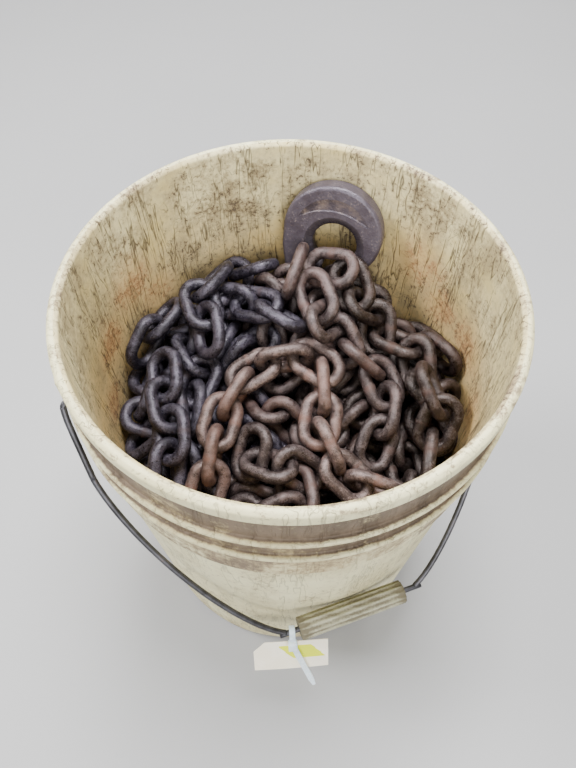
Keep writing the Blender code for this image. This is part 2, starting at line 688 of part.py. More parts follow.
def place_run(run):
    """The middles and turnings of one run's links, each rolled a quarter turn from the last."""
    count = RUN_COUNTS[run]
    lifted = []
    for x, y, lift in ROUTES[run]:
        x, y, lift = x * MM, y * MM, lift * MM
        lifted.append((x, y, float(heap_top(x, y)) - LAYER_DEPTH / 2 + lift))
    places = smooth_route(lifted, LINK_INNER_LENGTH * LINK_SPACING, count)
    forward = unit(np.gradient(places, axis=0))
    turns = []
    for i in range(count):
        side = unit(np.cross((0.0, 0.0, 1.0), forward[i]))
        up = np.cross(forward[i], side)
        roll = math.pi / 2 * (i + (run in RUNS_ON_EDGE))
        across = math.cos(roll) * side + math.sin(roll) * up
        turns.append(np.stack([forward[i], across, np.cross(forward[i], across)], axis=1))
    return places, np.array(turns)


def nearest_on_segments(a0, a1, b0, b1):
    """The closest points of each pair of straight segments."""
    run_a, run_b, apart = a1 - a0, b1 - b0, a0 - b0
    aa, bb = (run_a**2).sum(-1), (run_b**2).sum(-1)
    ab, a_apart, b_apart = (run_a * run_b).sum(-1), (run_a * apart).sum(-1), (run_b * apart).sum(-1)
    skew = np.maximum(aa * bb - ab * ab, 1e-18)
    s = np.clip((ab * b_apart - a_apart * bb) / skew, 0.0, 1.0)
    t = np.clip((ab * s + b_apart) / bb, 0.0, 1.0)
    s = np.clip((ab * t - a_apart) / aa, 0.0, 1.0)
    return a0 + s[:, None] * run_a, b0 + t[:, None] * run_b


def small_turn(angles):
    """The turning of each row's rotation vector."""
    size = np.linalg.norm(angles, axis=1)[:, None, None]
    k = np.zeros((len(angles), 3, 3))
    k[:, 0, 1], k[:, 0, 2], k[:, 1, 2] = -angles[:, 2], angles[:, 1], -angles[:, 0]
    k -= k.transpose(0, 2, 1)
    k /= np.maximum(size, 1e-12)
    return np.eye(3) + np.sin(size) * k + (1 - np.cos(size)) * (k @ k)


def pair_pushes(lines, middles, reach, apart):
    """Where two links are nearer than apart: the links, the places and the push on the first."""
    count = len(middles)
    first, second = np.triu_indices(count, 1)
    near = np.linalg.norm(middles[first] - middles[second], axis=1) < reach
    first, second = first[near], second[near]
    size = lines.shape[1]
    i, j = np.meshgrid(np.arange(size), np.arange(size), indexing="ij")
    i, j = i.ravel(), j.ravel()
    after = np.roll(lines, -1, axis=1)
    mid, half = (lines + after) / 2, np.linalg.norm(after - lines, axis=2) / 2
    gap = np.linalg.norm(mid[first][:, i] - mid[second][:, j], axis=2)
    pair, corner = np.nonzero(gap < apart + half[first][:, i] + half[second][:, j])
    a, b, i, j = first[pair], second[pair], i[corner], j[corner]
    on_a, on_b = nearest_on_segments(lines[a, i], after[a, i], lines[b, j], after[b, j])
    between = on_a - on_b
    distance = np.linalg.norm(between, axis=1)
    touch = distance < apart
    push = between[touch] / np.maximum(distance[touch], 1e-9)[:, None]
    return a[touch], b[touch], on_a[touch], on_b[touch], push, apart - distance[touch]


def surface_pushes(lines, hook):
    """Where a link reaches into the hidden links, the pail's wall or the hook."""
    wire = LINK_WIRE / 2 + LINK_GAP
    links = np.repeat(np.arange(len(lines)), lines.shape[1])
    points = lines.reshape(-1, 3)
    x, y, z = points.T
    radius = np.hypot(x, y)
    outward = np.stack([x / radius, y / radius, 0 * z], axis=1)
    wall = pail_inner_radius(z)
    rise = (core_top(x + wire, y) - core_top(x - wire, y)) / (2 * wire)
    climb = (core_top(x, y + wire) - core_top(x, y - wire)) / (2 * wire)
    under = core_top(x, y) + wire * np.sqrt(1 + rise**2 + climb**2) - z
    middle, across, upward, back = hook
    from_hook = points - np.array(middle)
    in_front = from_hook @ np.array(back) + HOOK_THICKNESS / 2 + wire
    sideways = np.abs(from_hook @ np.array(across))
    by_hook = (sideways < HOOK_BOWL_RADIUS + wire) & (from_hook @ np.array(upward) < HOOK_BOWL_RADIUS + wire)
    up = np.broadcast_to((0.0, 0.0, 1.0), points.shape)
    forward = np.broadcast_to(-np.array(back), points.shape)
    kinds = ((under, up, under > 0),
             (radius - wall + wire + CLEARANCE, -outward, radius > wall - wire - CLEARANCE),
             (in_front, forward, by_hook & (in_front > 0)))
    found = [(links[on], points[on], push[on], depth[on]) for depth, push, on in kinds]
    return [np.concatenate(column) for column in zip(*found)]


def part_links(middles, turns, hook):
    """One round of moving links out of each other. It also says how deep the worst touch was."""
    shape = link_centreline()
    reach = 2 * np.abs(shape).max() + LINK_WIRE
    swing = LINK_SWING
    lines = middles[:, None] + shape @ turns.transpose(0, 2, 1)
    a, b, on_a, on_b, push, depth = pair_pushes(lines, middles, reach, LINK_WIRE + LINK_GAP)
    on, place, direction, deep = surface_pushes(lines, hook)
    arm_a, arm_b = np.cross(on_a - middles[a], push), np.cross(on_b - middles[b], push)
    arm_on = np.cross(place - middles[on], direction)
    ease_a, ease_b = 1 + (arm_a**2).sum(1) / swing**2, 1 + (arm_b**2).sum(1) / swing**2
    shared = (depth / (ease_a + ease_b))[:, None]
    alone = (deep / (1 + (arm_on**2).sum(1) / swing**2))[:, None]
    links = np.concatenate([a, b, on])
    move, turn = np.zeros_like(middles), np.zeros_like(middles)
    np.add.at(move, links, np.concatenate([push * shared, -push * shared, direction * alone]))
    np.add.at(turn, links, np.concatenate([arm_a * shared, -arm_b * shared, arm_on * alone]) / swing**2)
    share = np.maximum(np.bincount(links, minlength=len(middles)), 1.0)[:, None] ** PUSH_SHARING
    move, turn = move / share, turn / share
    move *= np.minimum(1.0, LARGEST_MOVE / np.maximum(np.linalg.norm(move, axis=1, keepdims=True), 1e-12))
    most = LARGEST_MOVE / swing
    turn *= np.minimum(1.0, most / np.maximum(np.linalg.norm(turn, axis=1, keepdims=True), 1e-12))
    deepest = max(depth.max(initial=0.0), deep.max(initial=0.0))
    return middles + move, small_turn(turn) @ turns, deepest


def lay_links(hook):
    """Lets one run after another down onto the heap, then clears the last touches."""
    middles, turns = np.zeros((0, 3)), np.zeros((0, 3, 3))
    over = np.zeros((0, 2))
    names = []
    for run, count in RUN_COUNTS.items():
        places, rolled = place_run(run)
        over = np.vstack([over, places[:, :2]])
        middles = np.vstack([middles, places + (0.0, 0.0, RUN_LIFT)])
        turns = np.concatenate([turns, rolled])
        names += [f"{run}_link_{i + 1:02d}" for i in range(count)]
        for _ in range(LAY_ROUNDS):
            middles[:, 2] -= LINK_DROP
            middles[:, :2] += HOLD_SHARE * (over - middles[:, :2])
            middles, turns, _ = part_links(middles, turns, hook)
    for step in range(CLEAR_ROUNDS):
        middles[:, 2] -= SETTLE_DROP * max(0.0, 1.0 - step / SETTLE_ROUNDS)
        middles, turns, deepest = part_links(middles, turns, hook)
        if deepest < CLEAR_ENOUGH:
            break
    return middles, turns, names


def make_links(parts, iron, hook):
    shape = poly_curve("link", [tuple(p) for p in link_centreline()], LINK_WIRE / 2, 1, cyclic=True)
    shape.materials.append(iron)
    middles, turns, names = lay_links(hook)
    for middle, turn, name in zip(middles, turns, names):
        link = bpy.data.objects.new(name, shape)
        parts.objects.link(link)
        link.matrix_world = Matrix.Translation(middle) @ Matrix(turn.tolist()).to_4x4()


def main():
    for old in list(bpy.data.objects):
        bpy.data.objects.remove(old)
    parts, tools = collection("chain_heap"), collection("cutters")
    plastic = material("pail_plastic", (0.62, 0.57, 0.42), 0.55)
    steel = material("bail_steel", (0.16, 0.16, 0.17), 0.45, 0.9)
    grip_plastic = material("grip_plastic", (0.42, 0.38, 0.26), 0.6)
    nylon = material("tie_nylon", (0.72, 0.78, 0.82), 0.45)
    card = material("tag_card", (0.80, 0.74, 0.60), 0.8)
    iron = material("chain_iron", (0.16, 0.13, 0.12), 0.5, 0.7)
    core_iron = material("hidden_links", (0.06, 0.05, 0.05), 0.8, 0.3)
    hook_iron = material("hook_iron", (0.20, 0.17, 0.18), 0.5, 0.6)
    make_pail(parts, tools, plastic)
    make_bail(parts, tools, steel, grip_plastic, nylon, card)
    make_hook_pocket(make_core(parts, core_iron), tools)
    make_hook(parts, hook_iron)
    make_links(parts, iron, hook_seat())


main()
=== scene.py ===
"""The looks of a pail of iron chain: links, hook, pail, bail, grip, tie and tag, in the frame's places.

Metres, +Z up, with the origin under the middle of the pail and its front towards -Y.
"""

import functools
import json
import math

import bmesh
import bpy
import numpy as np
from mathutils import Matrix, Vector


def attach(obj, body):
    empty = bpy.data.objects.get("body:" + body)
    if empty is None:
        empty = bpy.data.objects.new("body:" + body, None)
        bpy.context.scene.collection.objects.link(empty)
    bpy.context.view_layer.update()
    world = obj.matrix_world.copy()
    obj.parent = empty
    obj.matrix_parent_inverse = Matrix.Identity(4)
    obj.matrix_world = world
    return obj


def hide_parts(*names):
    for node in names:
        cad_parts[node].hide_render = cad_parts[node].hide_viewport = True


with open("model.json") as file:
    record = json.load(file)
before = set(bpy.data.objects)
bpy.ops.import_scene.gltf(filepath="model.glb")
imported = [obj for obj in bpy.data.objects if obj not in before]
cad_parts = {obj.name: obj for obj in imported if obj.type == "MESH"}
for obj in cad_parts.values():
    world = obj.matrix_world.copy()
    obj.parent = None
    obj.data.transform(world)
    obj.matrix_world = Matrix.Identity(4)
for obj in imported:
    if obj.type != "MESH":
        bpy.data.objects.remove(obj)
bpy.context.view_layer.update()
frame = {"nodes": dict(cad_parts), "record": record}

MM = 0.001
SEED = 17

# The camera, as fitted to the pail's rim and base in a picture of 576 by 768 pixels
PICTURE_HEIGHT = 768
FOCAL_PIXELS = 653.27
SENSOR = 36.0
CAMERA_PLACE = (-0.0013, -0.2737, 0.6766)
CAMERA_PITCH = math.radians(90.0 - 56.81)
CAMERA_ROLL = math.radians(0.18)

# Pail
PAIL_HEIGHT = 367.0 * MM
PAIL_BASE_RADIUS = 130.5 * MM
PAIL_SHOULDER_RADIUS = 145.0 * MM
PAIL_SHOULDER_Z = 260.0 * MM
PAIL_BAND_STEP = 3.0 * MM
PAIL_BAND_RADIUS = PAIL_SHOULDER_RADIUS + PAIL_BAND_STEP
PAIL_WALL = 2.6 * MM
PAIL_FLOOR = 3.2 * MM
PAIL_FOOT_ROUND = 5.0 * MM
RIM_OVERHANG = 3.0 * MM
RIM_BEAD_HEIGHT = 12.0 * MM
RIM_ROUND = 2.5 * MM
RIDGE_OVERHANG = 4.5 * MM
RIDGE_THICKNESS = 4.0 * MM
RIDGE_HEIGHTS = (324.0 * MM, 300.0 * MM)
EAR_TURN = math.radians(19.5)
EAR_RADIUS = 8.5 * MM
EAR_STAND_OFF = 1.0 * MM
EAR_PAD_WIDTH = 30.0 * MM
EAR_PAD_STAND_OFF = 3.5 * MM
CLEARANCE = 0.35 * MM
PAIL_GROOVES = (86.0 * MM, 48.0 * MM)  # the radii of the grooves in its underside
PAIL_GROOVE_HALF = 2.5 * MM
PAIL_GROOVE_DEPTH = 1.0 * MM
PAIL_CORNER_ROUND = 1.4 * MM
PAIL_STEPS = 192
PAIL_LONGEST_STEP = 9.0 * MM

# Bail, grip, tie and tag
BAIL_WIRE = 4.5 * MM
BAIL_DEPTH = 224.0 * MM
BAIL_IN_BOSS = 9.0 * MM
BAIL_GAP_TO_EAR = 1.5 * MM
BAIL_NECK = 15.0 * MM
BAIL_FULLNESS = 1.5
BAIL_BOW_STEPS = 22
GRIP_LENGTH = 88.0 * MM
GRIP_RADIUS = 9.2 * MM
GRIP_RIBS = 12
GRIP_RIB_DEPTH = 0.9 * MM
GRIP_CLEARANCE = 0.4 * MM
GRIP_EDGE = 0.5 * MM
GRIP_BORE_STEP = 8.0 * MM
GRIP_END_GRIME = 9.0 * MM
TIE_FROM_GRIP = 6.0 * MM
TIE_WIDTH = 4.6 * MM
TIE_THICKNESS = 1.4 * MM
TIE_HEAD = (5.6 * MM, 8.0 * MM, 7.0 * MM)
TIE_HEAD_DOWN = 8.0 * MM
TIE_HEAD_ROUND = 0.9 * MM
TIE_ROUND = 0.35 * MM
TIE_TAIL = 46.0 * MM
TIE_TAIL_LEAN = math.radians(20.0)
TIE_TAIL_WIDTHS = ((0.0, 1.0), (0.86, 1.0), (0.97, 0.62), (1.0, 0.55))  # share of length, share of width
TAG_WIDTH = 59.0 * MM
TAG_DROP = 29.0 * MM
TAG_THICKNESS = 0.8 * MM
TAG_ROUND = 0.12 * MM
TAG_COLUMNS, TAG_ROWS = 60, 30
TAG_CORNER_CUT = 9.0 * MM
TAG_HOLE_RADIUS = 3.4 * MM
TAG_HOLE_DOWN = 5.5 * MM
TAG_HOLE_ALONG = 31.0 * MM
TAG_TURN = math.radians(4.0)
TAG_TILT = math.radians(32.0)
TAG_PATCH_TOP = 4.0 * MM
TAG_PATCH_DROP = 14.0 * MM
TAG_PATCH_HALF = 13.0 * MM
TAG_PATCH_SHIFT = 12.0 * MM  # how far the patch leans sideways from its top to its foot
TAG_CURL = 0.72  # how fast the card's foot curls away to both sides
TAG_CURL_MIDDLE = -4 * MM

# Hook
HOOK_BOWL_RADIUS = 40.5 * MM
HOOK_MOUTH_RADIUS = 18.5 * MM
HOOK_MOUTH_DROP = 9.5 * MM
HOOK_MOUTH_SIDE = 2.5 * MM
HOOK_THICKNESS = 16.0 * MM
HOOK_CHAMFER = 6.5 * MM
HOOK_CHAMFER_DEPTH = 3.6 * MM
HOOK_ROUND = 3.2 * MM
HOOK_EYE_RADIUS = 16.0 * MM
HOOK_EYE_HOLE = 8.0 * MM
HOOK_EYE_DROP = 48.0 * MM
HOOK_EYE_SIDE = 20.0 * MM
HOOK_NECK_DROP = 18.0 * MM
HOOK_TIP_TURN = math.radians(-38.0)
HOOK_INNER_TIP_TURN = HOOK_TIP_TURN - math.radians(6.0)
HOOK_INNER_START = math.radians(248)
HOOK_EYE_ARC = (math.radians(165), math.radians(395))
HOOK_TURN = math.radians(16.5)
HOOK_LEAN = math.radians(14.0)
HOOK_DOWN = 64.5 * MM
CRESCENT_OUTER_RADIUS = 30.5 * MM
CRESCENT_INNER_RADIUS = 46.0 * MM
CRESCENT_INNER_DROP = 26.0 * MM
CRESCENT_OUTER_ARC = (math.radians(22), math.radians(158))
CRESCENT_INNER_ARC = (math.radians(122), math.radians(58))
CRESCENT_DEPTH = 1.5 * MM
CRESCENT_ROUND = 0.9 * MM
RECESS_FROM, RECESS_TO, RECESS_ABOVE = 0.3 * MM, 2.0 * MM, 5 * MM

# Chain and heap
LINK_WIRE = 10.0 * MM
LINK_INNER_LENGTH = 30.0 * MM
LINK_INNER_WIDTH = 14.0 * MM
LINK_SPACING = 0.86
WELD_SPREAD = 2.2 * MM
WELD_SWELL, BEND_THINNER, DENTS = 0.045, 0.015, 0.010  # as shares of the wire's radius
HEAP_TOP = 260.0 * MM
HEAP_DOME = 36.0 * MM
HEAP_SLOPE = 0.30
# Rises of the heap at the hook and at the right wall: where, how high and how wide
HEAP_MOUNDS = ((28.0 * MM, 100.0 * MM, 42.0 * MM, 36.0 * MM), (126.0 * MM, 42.0 * MM, 32.0 * MM, 26.0 * MM))
DEEP_DEPTH = 62.0 * MM  # from the heap's top to the filling under the links, painted near black as shade
DEEP_LUMPS = 2.2 * MM
DEEP_RINGS, DEEP_SPOKES = 26, 72

# Floor, sky and lamps, each lamp with its place, size and power
FLOOR_SIZE = 6.0
SKY_COLOUR = (1.0, 0.985, 0.965, 1.0)
SKY_STRENGTH = 0.38
LAMPS_AIM_Z = 0.2
LAMPS = {
    "ceiling_lamp": ((0.1, 0.25, 1.9), 0.7, 72.0),
    "left_lamp": ((-1.3, 0.2, 1.5), 0.5, 42.0),
    "back_lamp": ((0.2, 1.6, 1.4), 0.8, 24.0),
    "front_lamp": ((0.2, -1.6, 1.3), 1.0, 44.0),
}


# Finishes

class Amount:
    """One output of a finish's nodes, which is added, scaled and compared like a number."""

    def __init__(self, finish, socket):
        self.finish = finish
        self.socket = socket

    def maths(self, operation, *amounts, clamp=False):
        sockets = dict(enumerate(amounts))
        return self.finish.node("ShaderNodeMath", sockets, operation=operation, use_clamp=clamp)

    def __add__(self, other):
        return self.maths("ADD", self, other)

    __radd__ = __add__

    def __sub__(self, other):
        return self.maths("SUBTRACT", self, other)

    def __rsub__(self, other):
        return self.maths("SUBTRACT", other, self)

    def __mul__(self, other):
        return self.maths("MULTIPLY", self, other)

    def __truediv__(self, other):
        return self.maths("DIVIDE", self, other)

    def __abs__(self):
        return self.maths("ABSOLUTE", self)

    def larger(self, other):
        return self.maths("MAXIMUM", self, other)

    def clamped(self):
        return self.maths("ADD", self, 0.0, clamp=True)

    def between(self, low, high):
        """0 under low, 1 over high and smooth in between."""
        sockets = {"Value": self, "From Min": low, "From Max": high}
        return self.finish.node("ShaderNodeMapRange", sockets, interpolation_type="SMOOTHSTEP")


class Finish:
    """A material whose nodes are made one call at a time, with a base colour laid on in coats."""

    def __init__(self, name, **even):
        self.base = None
        self.material = bpy.data.materials.new(name)
        self.material.use_nodes = True
        self.tree = self.material.node_tree
        self.shader = self.tree.nodes["Principled BSDF"]
        for socket, value in even.items():
            self.shader.inputs[socket.replace("_", " ")].default_value = value

    def node(self, kind, sockets=None, output=0, **settings):
        made = self.tree.nodes.new(kind)
        for setting, value in settings.items():
            setattr(made, setting, value)
        for socket, value in (sockets or {}).items():
            if isinstance(value, Amount):
                self.tree.links.new(value.socket, made.inputs[socket])
            else:
                made.inputs[socket].default_value = value
        return Amount(self, made.outputs[output])

    def place(self):
        return self.node("ShaderNodeTexCoord", output="Object")

    def stretched(self, scale, turn=(0.0, 0.0, 0.0)):
        return self.node("ShaderNodeMapping", {"Vector": self.place(), "Scale": scale, "Rotation": turn})

    def noise(self, scale, detail, roughness, distortion=0.0, place=None):
        sockets = {"Vector": place or self.place(), "Scale": scale, "Detail": detail,
                   "Roughness": roughness, "Distortion": distortion}
        return self.node("ShaderNodeTexNoise", sockets)

    def attribute(self, name):
        return self.node("ShaderNodeAttribute", output="Fac", attribute_name=name)

    def vectors(self, operation, first, second=None, output="Vector"):
        sockets = {0: first} if second is None else {0: first, 1: second}
        return self.node("ShaderNodeVectorMath", sockets, output, operation=operation)

    def z_of(self, vector):
        return self.node("ShaderNodeSeparateXYZ", {0: vector}, "Z")

    def mixed(self, share, first, second):
        """Two colours mixed. The node has its colours at inputs 6 and 7 and at output 2."""
        colours = [c if isinstance(c, Amount) else (*c, 1.0) for c in (first, second)]
        return self.node("ShaderNodeMix", {0: share, 6: colours[0], 7: colours[1]}, 2, data_type="RGBA")

    def coat(self, share, colour):
        """Lays one more colour over the base colour."""
        self.base = self.mixed(share, self.base, colour)

    def done(self, rough=None, relief=None, depth=0.0):
        """The finished material, with its colour, roughness and relief joined to the shader."""
        joined = {"Base Color": self.base}
        if rough:
            joined["Roughness"] = rough.clamped()
        if relief:
            bump = {"Height": relief, "Distance": depth, "Strength": 1.0}
            joined["Normal"] = self.node("ShaderNodeBump", bump)
        for socket, amount in joined.items():
            self.tree.links.new(amount.socket, self.shader.inputs[socket])
        return self.material


def chain_finish(name, scale_colour, worn_colour, rust_colour, rust_cover):
    """Forged and welded iron: dark scale, paler where it rubs, with a thin uneven film of rust, and painted
    shade on the faces that look down.
    """
    iron = Finish(name, Metallic=0.48, Specular_IOR_Level=0.6)
    tone = iron.attribute("tone")
    weld = iron.attribute("weld")
    broad = iron.noise(32.0, 3.0, 0.6)
    blotches = iron.noise(130.0, 6.0, 0.65)
    mottle = iron.noise(620.0, 4.0, 0.6)
    grit = iron.noise(1500.0, 2.0, 0.6)

    def like(colour, scale, more=0.0):
        return tuple(scale * c + more for c in colour)

    paler = (broad * 0.6 + tone * 0.5).between(0.25, 0.8)
    iron.base = iron.mixed(paler, like(scale_colour, 0.5), scale_colour)
    worn = (blotches * 0.55 + mottle * 0.4 + broad * 0.2).between(0.54, 0.66)
    iron.coat(worn * 0.7 + 0.2, worn_colour)
    film = blotches * 0.5 + broad * 0.45 + mottle * 0.25 + tone * 0.16 + weld * 0.2 + rust_cover
    film = film.between(0.62, 0.86)
    iron.coat(film * 0.8, rust_colour)
    spots = (mottle * 0.55 + grit * 0.45 + film * 0.05).between(0.56, 0.63)
    # A dark colour for the random spots, and for the painted shade on the faces that look down.
    spot_and_shade_colour = like(scale_colour, 0.35)
    iron.coat(spots * 0.35, spot_and_shade_colour)
    upward = iron.z_of(iron.node("ShaderNodeNewGeometry", output="Normal"))
    specks = (grit * 0.6 + mottle * 0.2 + blotches * 0.3 + upward * 0.03).between(0.60, 0.645)
    iron.coat(specks * 0.45, like(worn_colour, 1.5, 0.15))
    dust = upward.between(0.15, 1.0) * (blotches * 0.6 + grit * 0.4).between(0.36, 0.62)
    iron.coat(dust * 0.30, like(worn_colour, 1.25, 0.02))
    # Painted shade: faces that look down are darkened towards the dark spot colour.
    below = upward.between(0.1, -0.8)
    iron.coat(below * 0.45, spot_and_shade_colour)
    rough = 0.34 + film * 0.2 + (mottle - 0.5) * 0.6 + specks * 0.25 + spots * 0.1
    return iron.done(rough, blotches * 0.25 + mottle * 0.4 + grit * 0.35 - spots * 0.2, 0.75 * MM)


def hook_finish():
    """Forged hook: an even purplish brown film over smooth iron, with rust left in the recess and painted
    shade on the chamfer round the mouth.
    """
    iron = Finish("hook_iron", Metallic=0.3, Specular_IOR_Level=0.5)
    broad = iron.noise(30.0, 3.0, 0.5)
    blotches = iron.noise(110.0, 6.0, 0.6)
    fine = iron.noise(600.0, 4.0, 0.6)
    shade = (broad * 0.5 + blotches * 0.5).between(0.35, 0.65)
    iron.base = iron.mixed(shade, (0.057, 0.045, 0.060), (0.090, 0.076, 0.098))
    recess = iron.attribute("recess")
    rusty = (recess * 0.36 + blotches * 0.7).between(0.62, 0.90)
    iron.coat(rusty * 0.7, (0.235, 0.175, 0.145))
    iron.coat((fine * 0.6 + blotches * 0.4).between(0.56, 0.64) * 0.5, (0.26, 0.21, 0.20))
    iron.coat((fine * 0.7 + broad * 0.3).between(0.46, 0.38) * 0.6, (0.055, 0.042, 0.045))
    middle, across, up, back = hook_frame()
    mouth = middle + across * HOOK_MOUTH_SIDE - up * HOOK_MOUTH_DROP
    off_axis = iron.vectors("CROSS_PRODUCT", iron.vectors("SUBTRACT", iron.place(), mouth), back)
    reach = iron.vectors("LENGTH", off_axis, output="Value")
    # Painted shade: a near-black band on the chamfer round the mouth.
    mouth_shade_edge = HOOK_MOUTH_RADIUS + 6.0 * MM
    mouth_shade = (reach + (fine - 0.5) * MM).between(mouth_shade_edge + MM, mouth_shade_edge)
    iron.coat(mouth_shade * 0.6, (0.020, 0.015, 0.017))
    return iron.done(0.40 + (blotches - 0.5) * 0.3, blotches * 0.4 + fine * 0.6, 0.7 * MM)


# How much grime and painted shade the pail's outside holds at each height in millimetres; the shade is
# deepest under the rim bead, under each ridge and the band step, and between the ridges
GRIME_AND_SHADE_BY_HEIGHT = (
    (0, 0.55), (12, 0.30), (60, 0.0), (248, 0.0), (258, 0.30), (261, 0.72), (265, 0.42), (284, 0.50),
    (299, 0.98), (304, 0.94), (314, 0.84), (324, 0.96), (328, 0.94), (341, 0.76), (354, 0.94), (356, 0.38),
    (367, 0.22))

# Where rust has run on the pail's inside wall: the place and how far it spreads
RUST_SMEARS = (
    ((-0.122, 0.070, 0.290), 0.062), ((-0.137, 0.030, 0.268), 0.055), ((-0.110, 0.088, 0.262), 0.05),
    ((0.103, 0.096, 0.290), 0.066), ((0.122, 0.070, 0.262), 0.055), ((0.138, 0.030, 0.262), 0.060),
    ((0.141, -0.015, 0.240), 0.055), ((-0.141, 0.0, 0.232), 0.045))


def pail_finish():
    """Old cream moulding: scratched, greasy and rust stained inside, and deeper amber towards the bottom
    with stain and painted shade; grimy between the ridges outside, with painted shade under the rim bead and
    the ridges.
    """
    plastic = Finish("pail_plastic", Specular_IOR_Level=0.4)
    place = plastic.place()
    z = plastic.z_of(place)
    inside = plastic.attribute("inside")
    broad = plastic.noise(9.0, 4.0, 0.6, 0.4)
    blotches = plastic.noise(34.0, 7.0, 0.68)
    fine = plastic.noise(260.0, 5.0, 0.65)
    grit = plastic.noise(900.0, 3.0, 0.6)
    streaks = plastic.noise(60.0, 5.0, 0.65, place=plastic.stretched((1.0, 1.0, 0.16)))

    def hairlines(scale, width, turn, mask_low, length=0.1):
        lines = plastic.noise(scale, 3.0, 0.6, 0.3, plastic.stretched((1.0, 1.0, length), turn))
        here = plastic.noise(scale * 0.5, 4.0, 0.7, place=plastic.stretched((1.0, 1.0, 0.35), turn))
        return (1 - abs(lines - 0.5) / width).clamped() * here.between(mask_low, mask_low + 0.05)

    paler = (broad * 0.6 + blotches * 0.4).between(0.34, 0.62)
    clean = plastic.mixed(paler, (0.64, 0.51, 0.21), (0.93, 0.84, 0.49))
    outer = plastic.mixed(broad.between(0.35, 0.7), (0.64, 0.585, 0.33), (0.78, 0.735, 0.45))
    plastic.base = plastic.mixed(inside, outer, clean)
    # Stain and painted shade: the inside turns deeper amber towards the bottom, by the heap.
    low = z.between(0.34, 0.22) * inside
    plastic.coat(low * 0.8, (0.60, 0.385, 0.15))
    dirt = (blotches * 0.65 + streaks * 0.35 + fine * 0.3 + inside * 0.04).between(0.56, 0.80)
    plastic.coat(dirt * (0.35 + inside * 0.45), (0.36, 0.285, 0.155))
    smudge = (broad * 0.4 + blotches * 0.5 + fine * 0.25).between(0.60, 0.72) * inside
    plastic.coat(smudge * 0.5, (0.19, 0.13, 0.065))
    smears = [plastic.vectors("DISTANCE", place, middle, "Value").between(reach, 0.0)
              for middle, reach in RUST_SMEARS]
    smears = functools.reduce(Amount.larger, smears)
    stain = (smears * 0.55 + broad * 0.3 + blotches * 0.45).between(0.54, 0.92) * inside
    plastic.coat(stain * 0.55, (0.60, 0.385, 0.17))
    flakes = plastic.noise(230.0, 6.0, 0.8)
    patches = (smears * 0.34 + blotches * 0.35 + flakes * 0.5 + fine * 0.2).between(0.79, 0.87) * inside
    plastic.coat(patches * 0.65, (0.44, 0.235, 0.10))
    rust = (smears * 0.26 + blotches * 0.2 + flakes * 0.65 + grit * 0.3).between(0.84, 0.91) * inside
    plastic.coat(rust * 0.7, (0.17, 0.085, 0.045))
    upright = hairlines(90.0, 0.018, (0.12, 0.08, 0.0), 0.49)
    leaning = hairlines(60.0, 0.014, (0.6, -0.4, 0.2), 0.47)
    crossing = hairlines(70.0, 0.014, (-0.7, 0.6, -0.3), 0.48)
    curved = hairlines(34.0, 0.008, (0.3, 0.9, 0.5), 0.47, 0.7)
    marks = (upright * 0.7).larger(leaning).larger(crossing).larger(curved * inside * 0.6)
    plastic.coat(marks * (0.4 + inside * 0.5), (0.075, 0.055, 0.035))
    scuffs = z.between(0.360, 0.3665) * (fine * 0.45 + blotches * 0.45 + grit * 0.15).between(0.545, 0.60)
    plastic.coat(scuffs * 0.55, (0.26, 0.19, 0.11))
    specks = (fine * 0.5 + grit * 0.3 + blotches * 0.3).between(0.60, 0.66)
    plastic.coat(specks * (0.45 + inside * 0.4), (0.085, 0.06, 0.045))
    # Grime and painted shade: the height table and the noise darken the outside brown, and the ridges and
    # rim bead are kept clean of it.
    spread = plastic.attribute("grime") + (blotches - 0.5) * 1.3 + (fine - 0.5) * 0.9
    spread = spread + (streaks - 0.5) * 0.4 - plastic.attribute("edge") * 0.7
    film = spread.between(0.12, 0.62) * (1 - inside)
    plastic.coat(film * 0.7, (0.40, 0.29, 0.14))
    grime = (spread + (broad - 0.5) * 1.2 + (grit - 0.5) * 0.3).between(0.30, 0.84) * (1 - inside)
    cake = (streaks * 0.5 + blotches * 0.3 + fine * 0.25).between(0.44, 0.62)
    grease = plastic.mixed(cake, (0.066, 0.044, 0.032), (0.165, 0.12, 0.085))
    plastic.coat(grime * 0.94, grease)
    rough = 0.5 + (blotches - 0.5) * 0.3 + grime * 0.15 + dirt * 0.1
    return plastic.done(rough, blotches * 0.4 + fine * 0.3 + marks * -0.5 + streaks * 0.2, 0.6 * MM)


def steel_finish():
    """Dull drawn wire with worn, paler stretches."""
    steel = Finish("bail_steel", Metallic=0.75)
    blotches = steel.noise(45.0, 6.0, 0.7)
    fine = steel.noise(900.0, 3.0, 0.6)
    steel.base = steel.mixed(blotches.between(0.3, 0.75), (0.040, 0.038, 0.040), (0.115, 0.115, 0.13))
    steel.coat((fine * 0.5 + blotches * 0.5).between(0.55, 0.65) * 0.6, (0.13, 0.085, 0.06))
    return steel.done(0.32 + blotches * 0.25, blotches * 0.5 + fine * 0.5, 0.3 * MM)


def grip_finish():
    """Olive beige plastic with brown grime in its flutes."""
    plastic = Finish("grip_plastic")
    blotches = plastic.noise(70.0, 6.0, 0.62)
    fine = plastic.noise(600.0, 4.0, 0.6)
    plastic.base = plastic.mixed(blotches.between(0.35, 0.65), (0.35, 0.335, 0.21), (0.52, 0.505, 0.36))
    lines = plastic.noise(220.0, 4.0, 0.6, place=plastic.stretched((0.12, 1.0, 1.0), (0.0, 0.0, -EAR_TURN)))
    grime = plastic.attribute("flute") * 0.22 + lines * 0.55 + blotches * 0.55 + fine * 0.3
    grime = (grime + plastic.attribute("end") * 0.28).between(0.66, 1.0)
    plastic.coat(grime * 0.88, (0.105, 0.085, 0.045))
    return plastic.done(0.55 + grime * 0.2, blotches * 0.5 + fine * 0.5, 0.4 * MM)


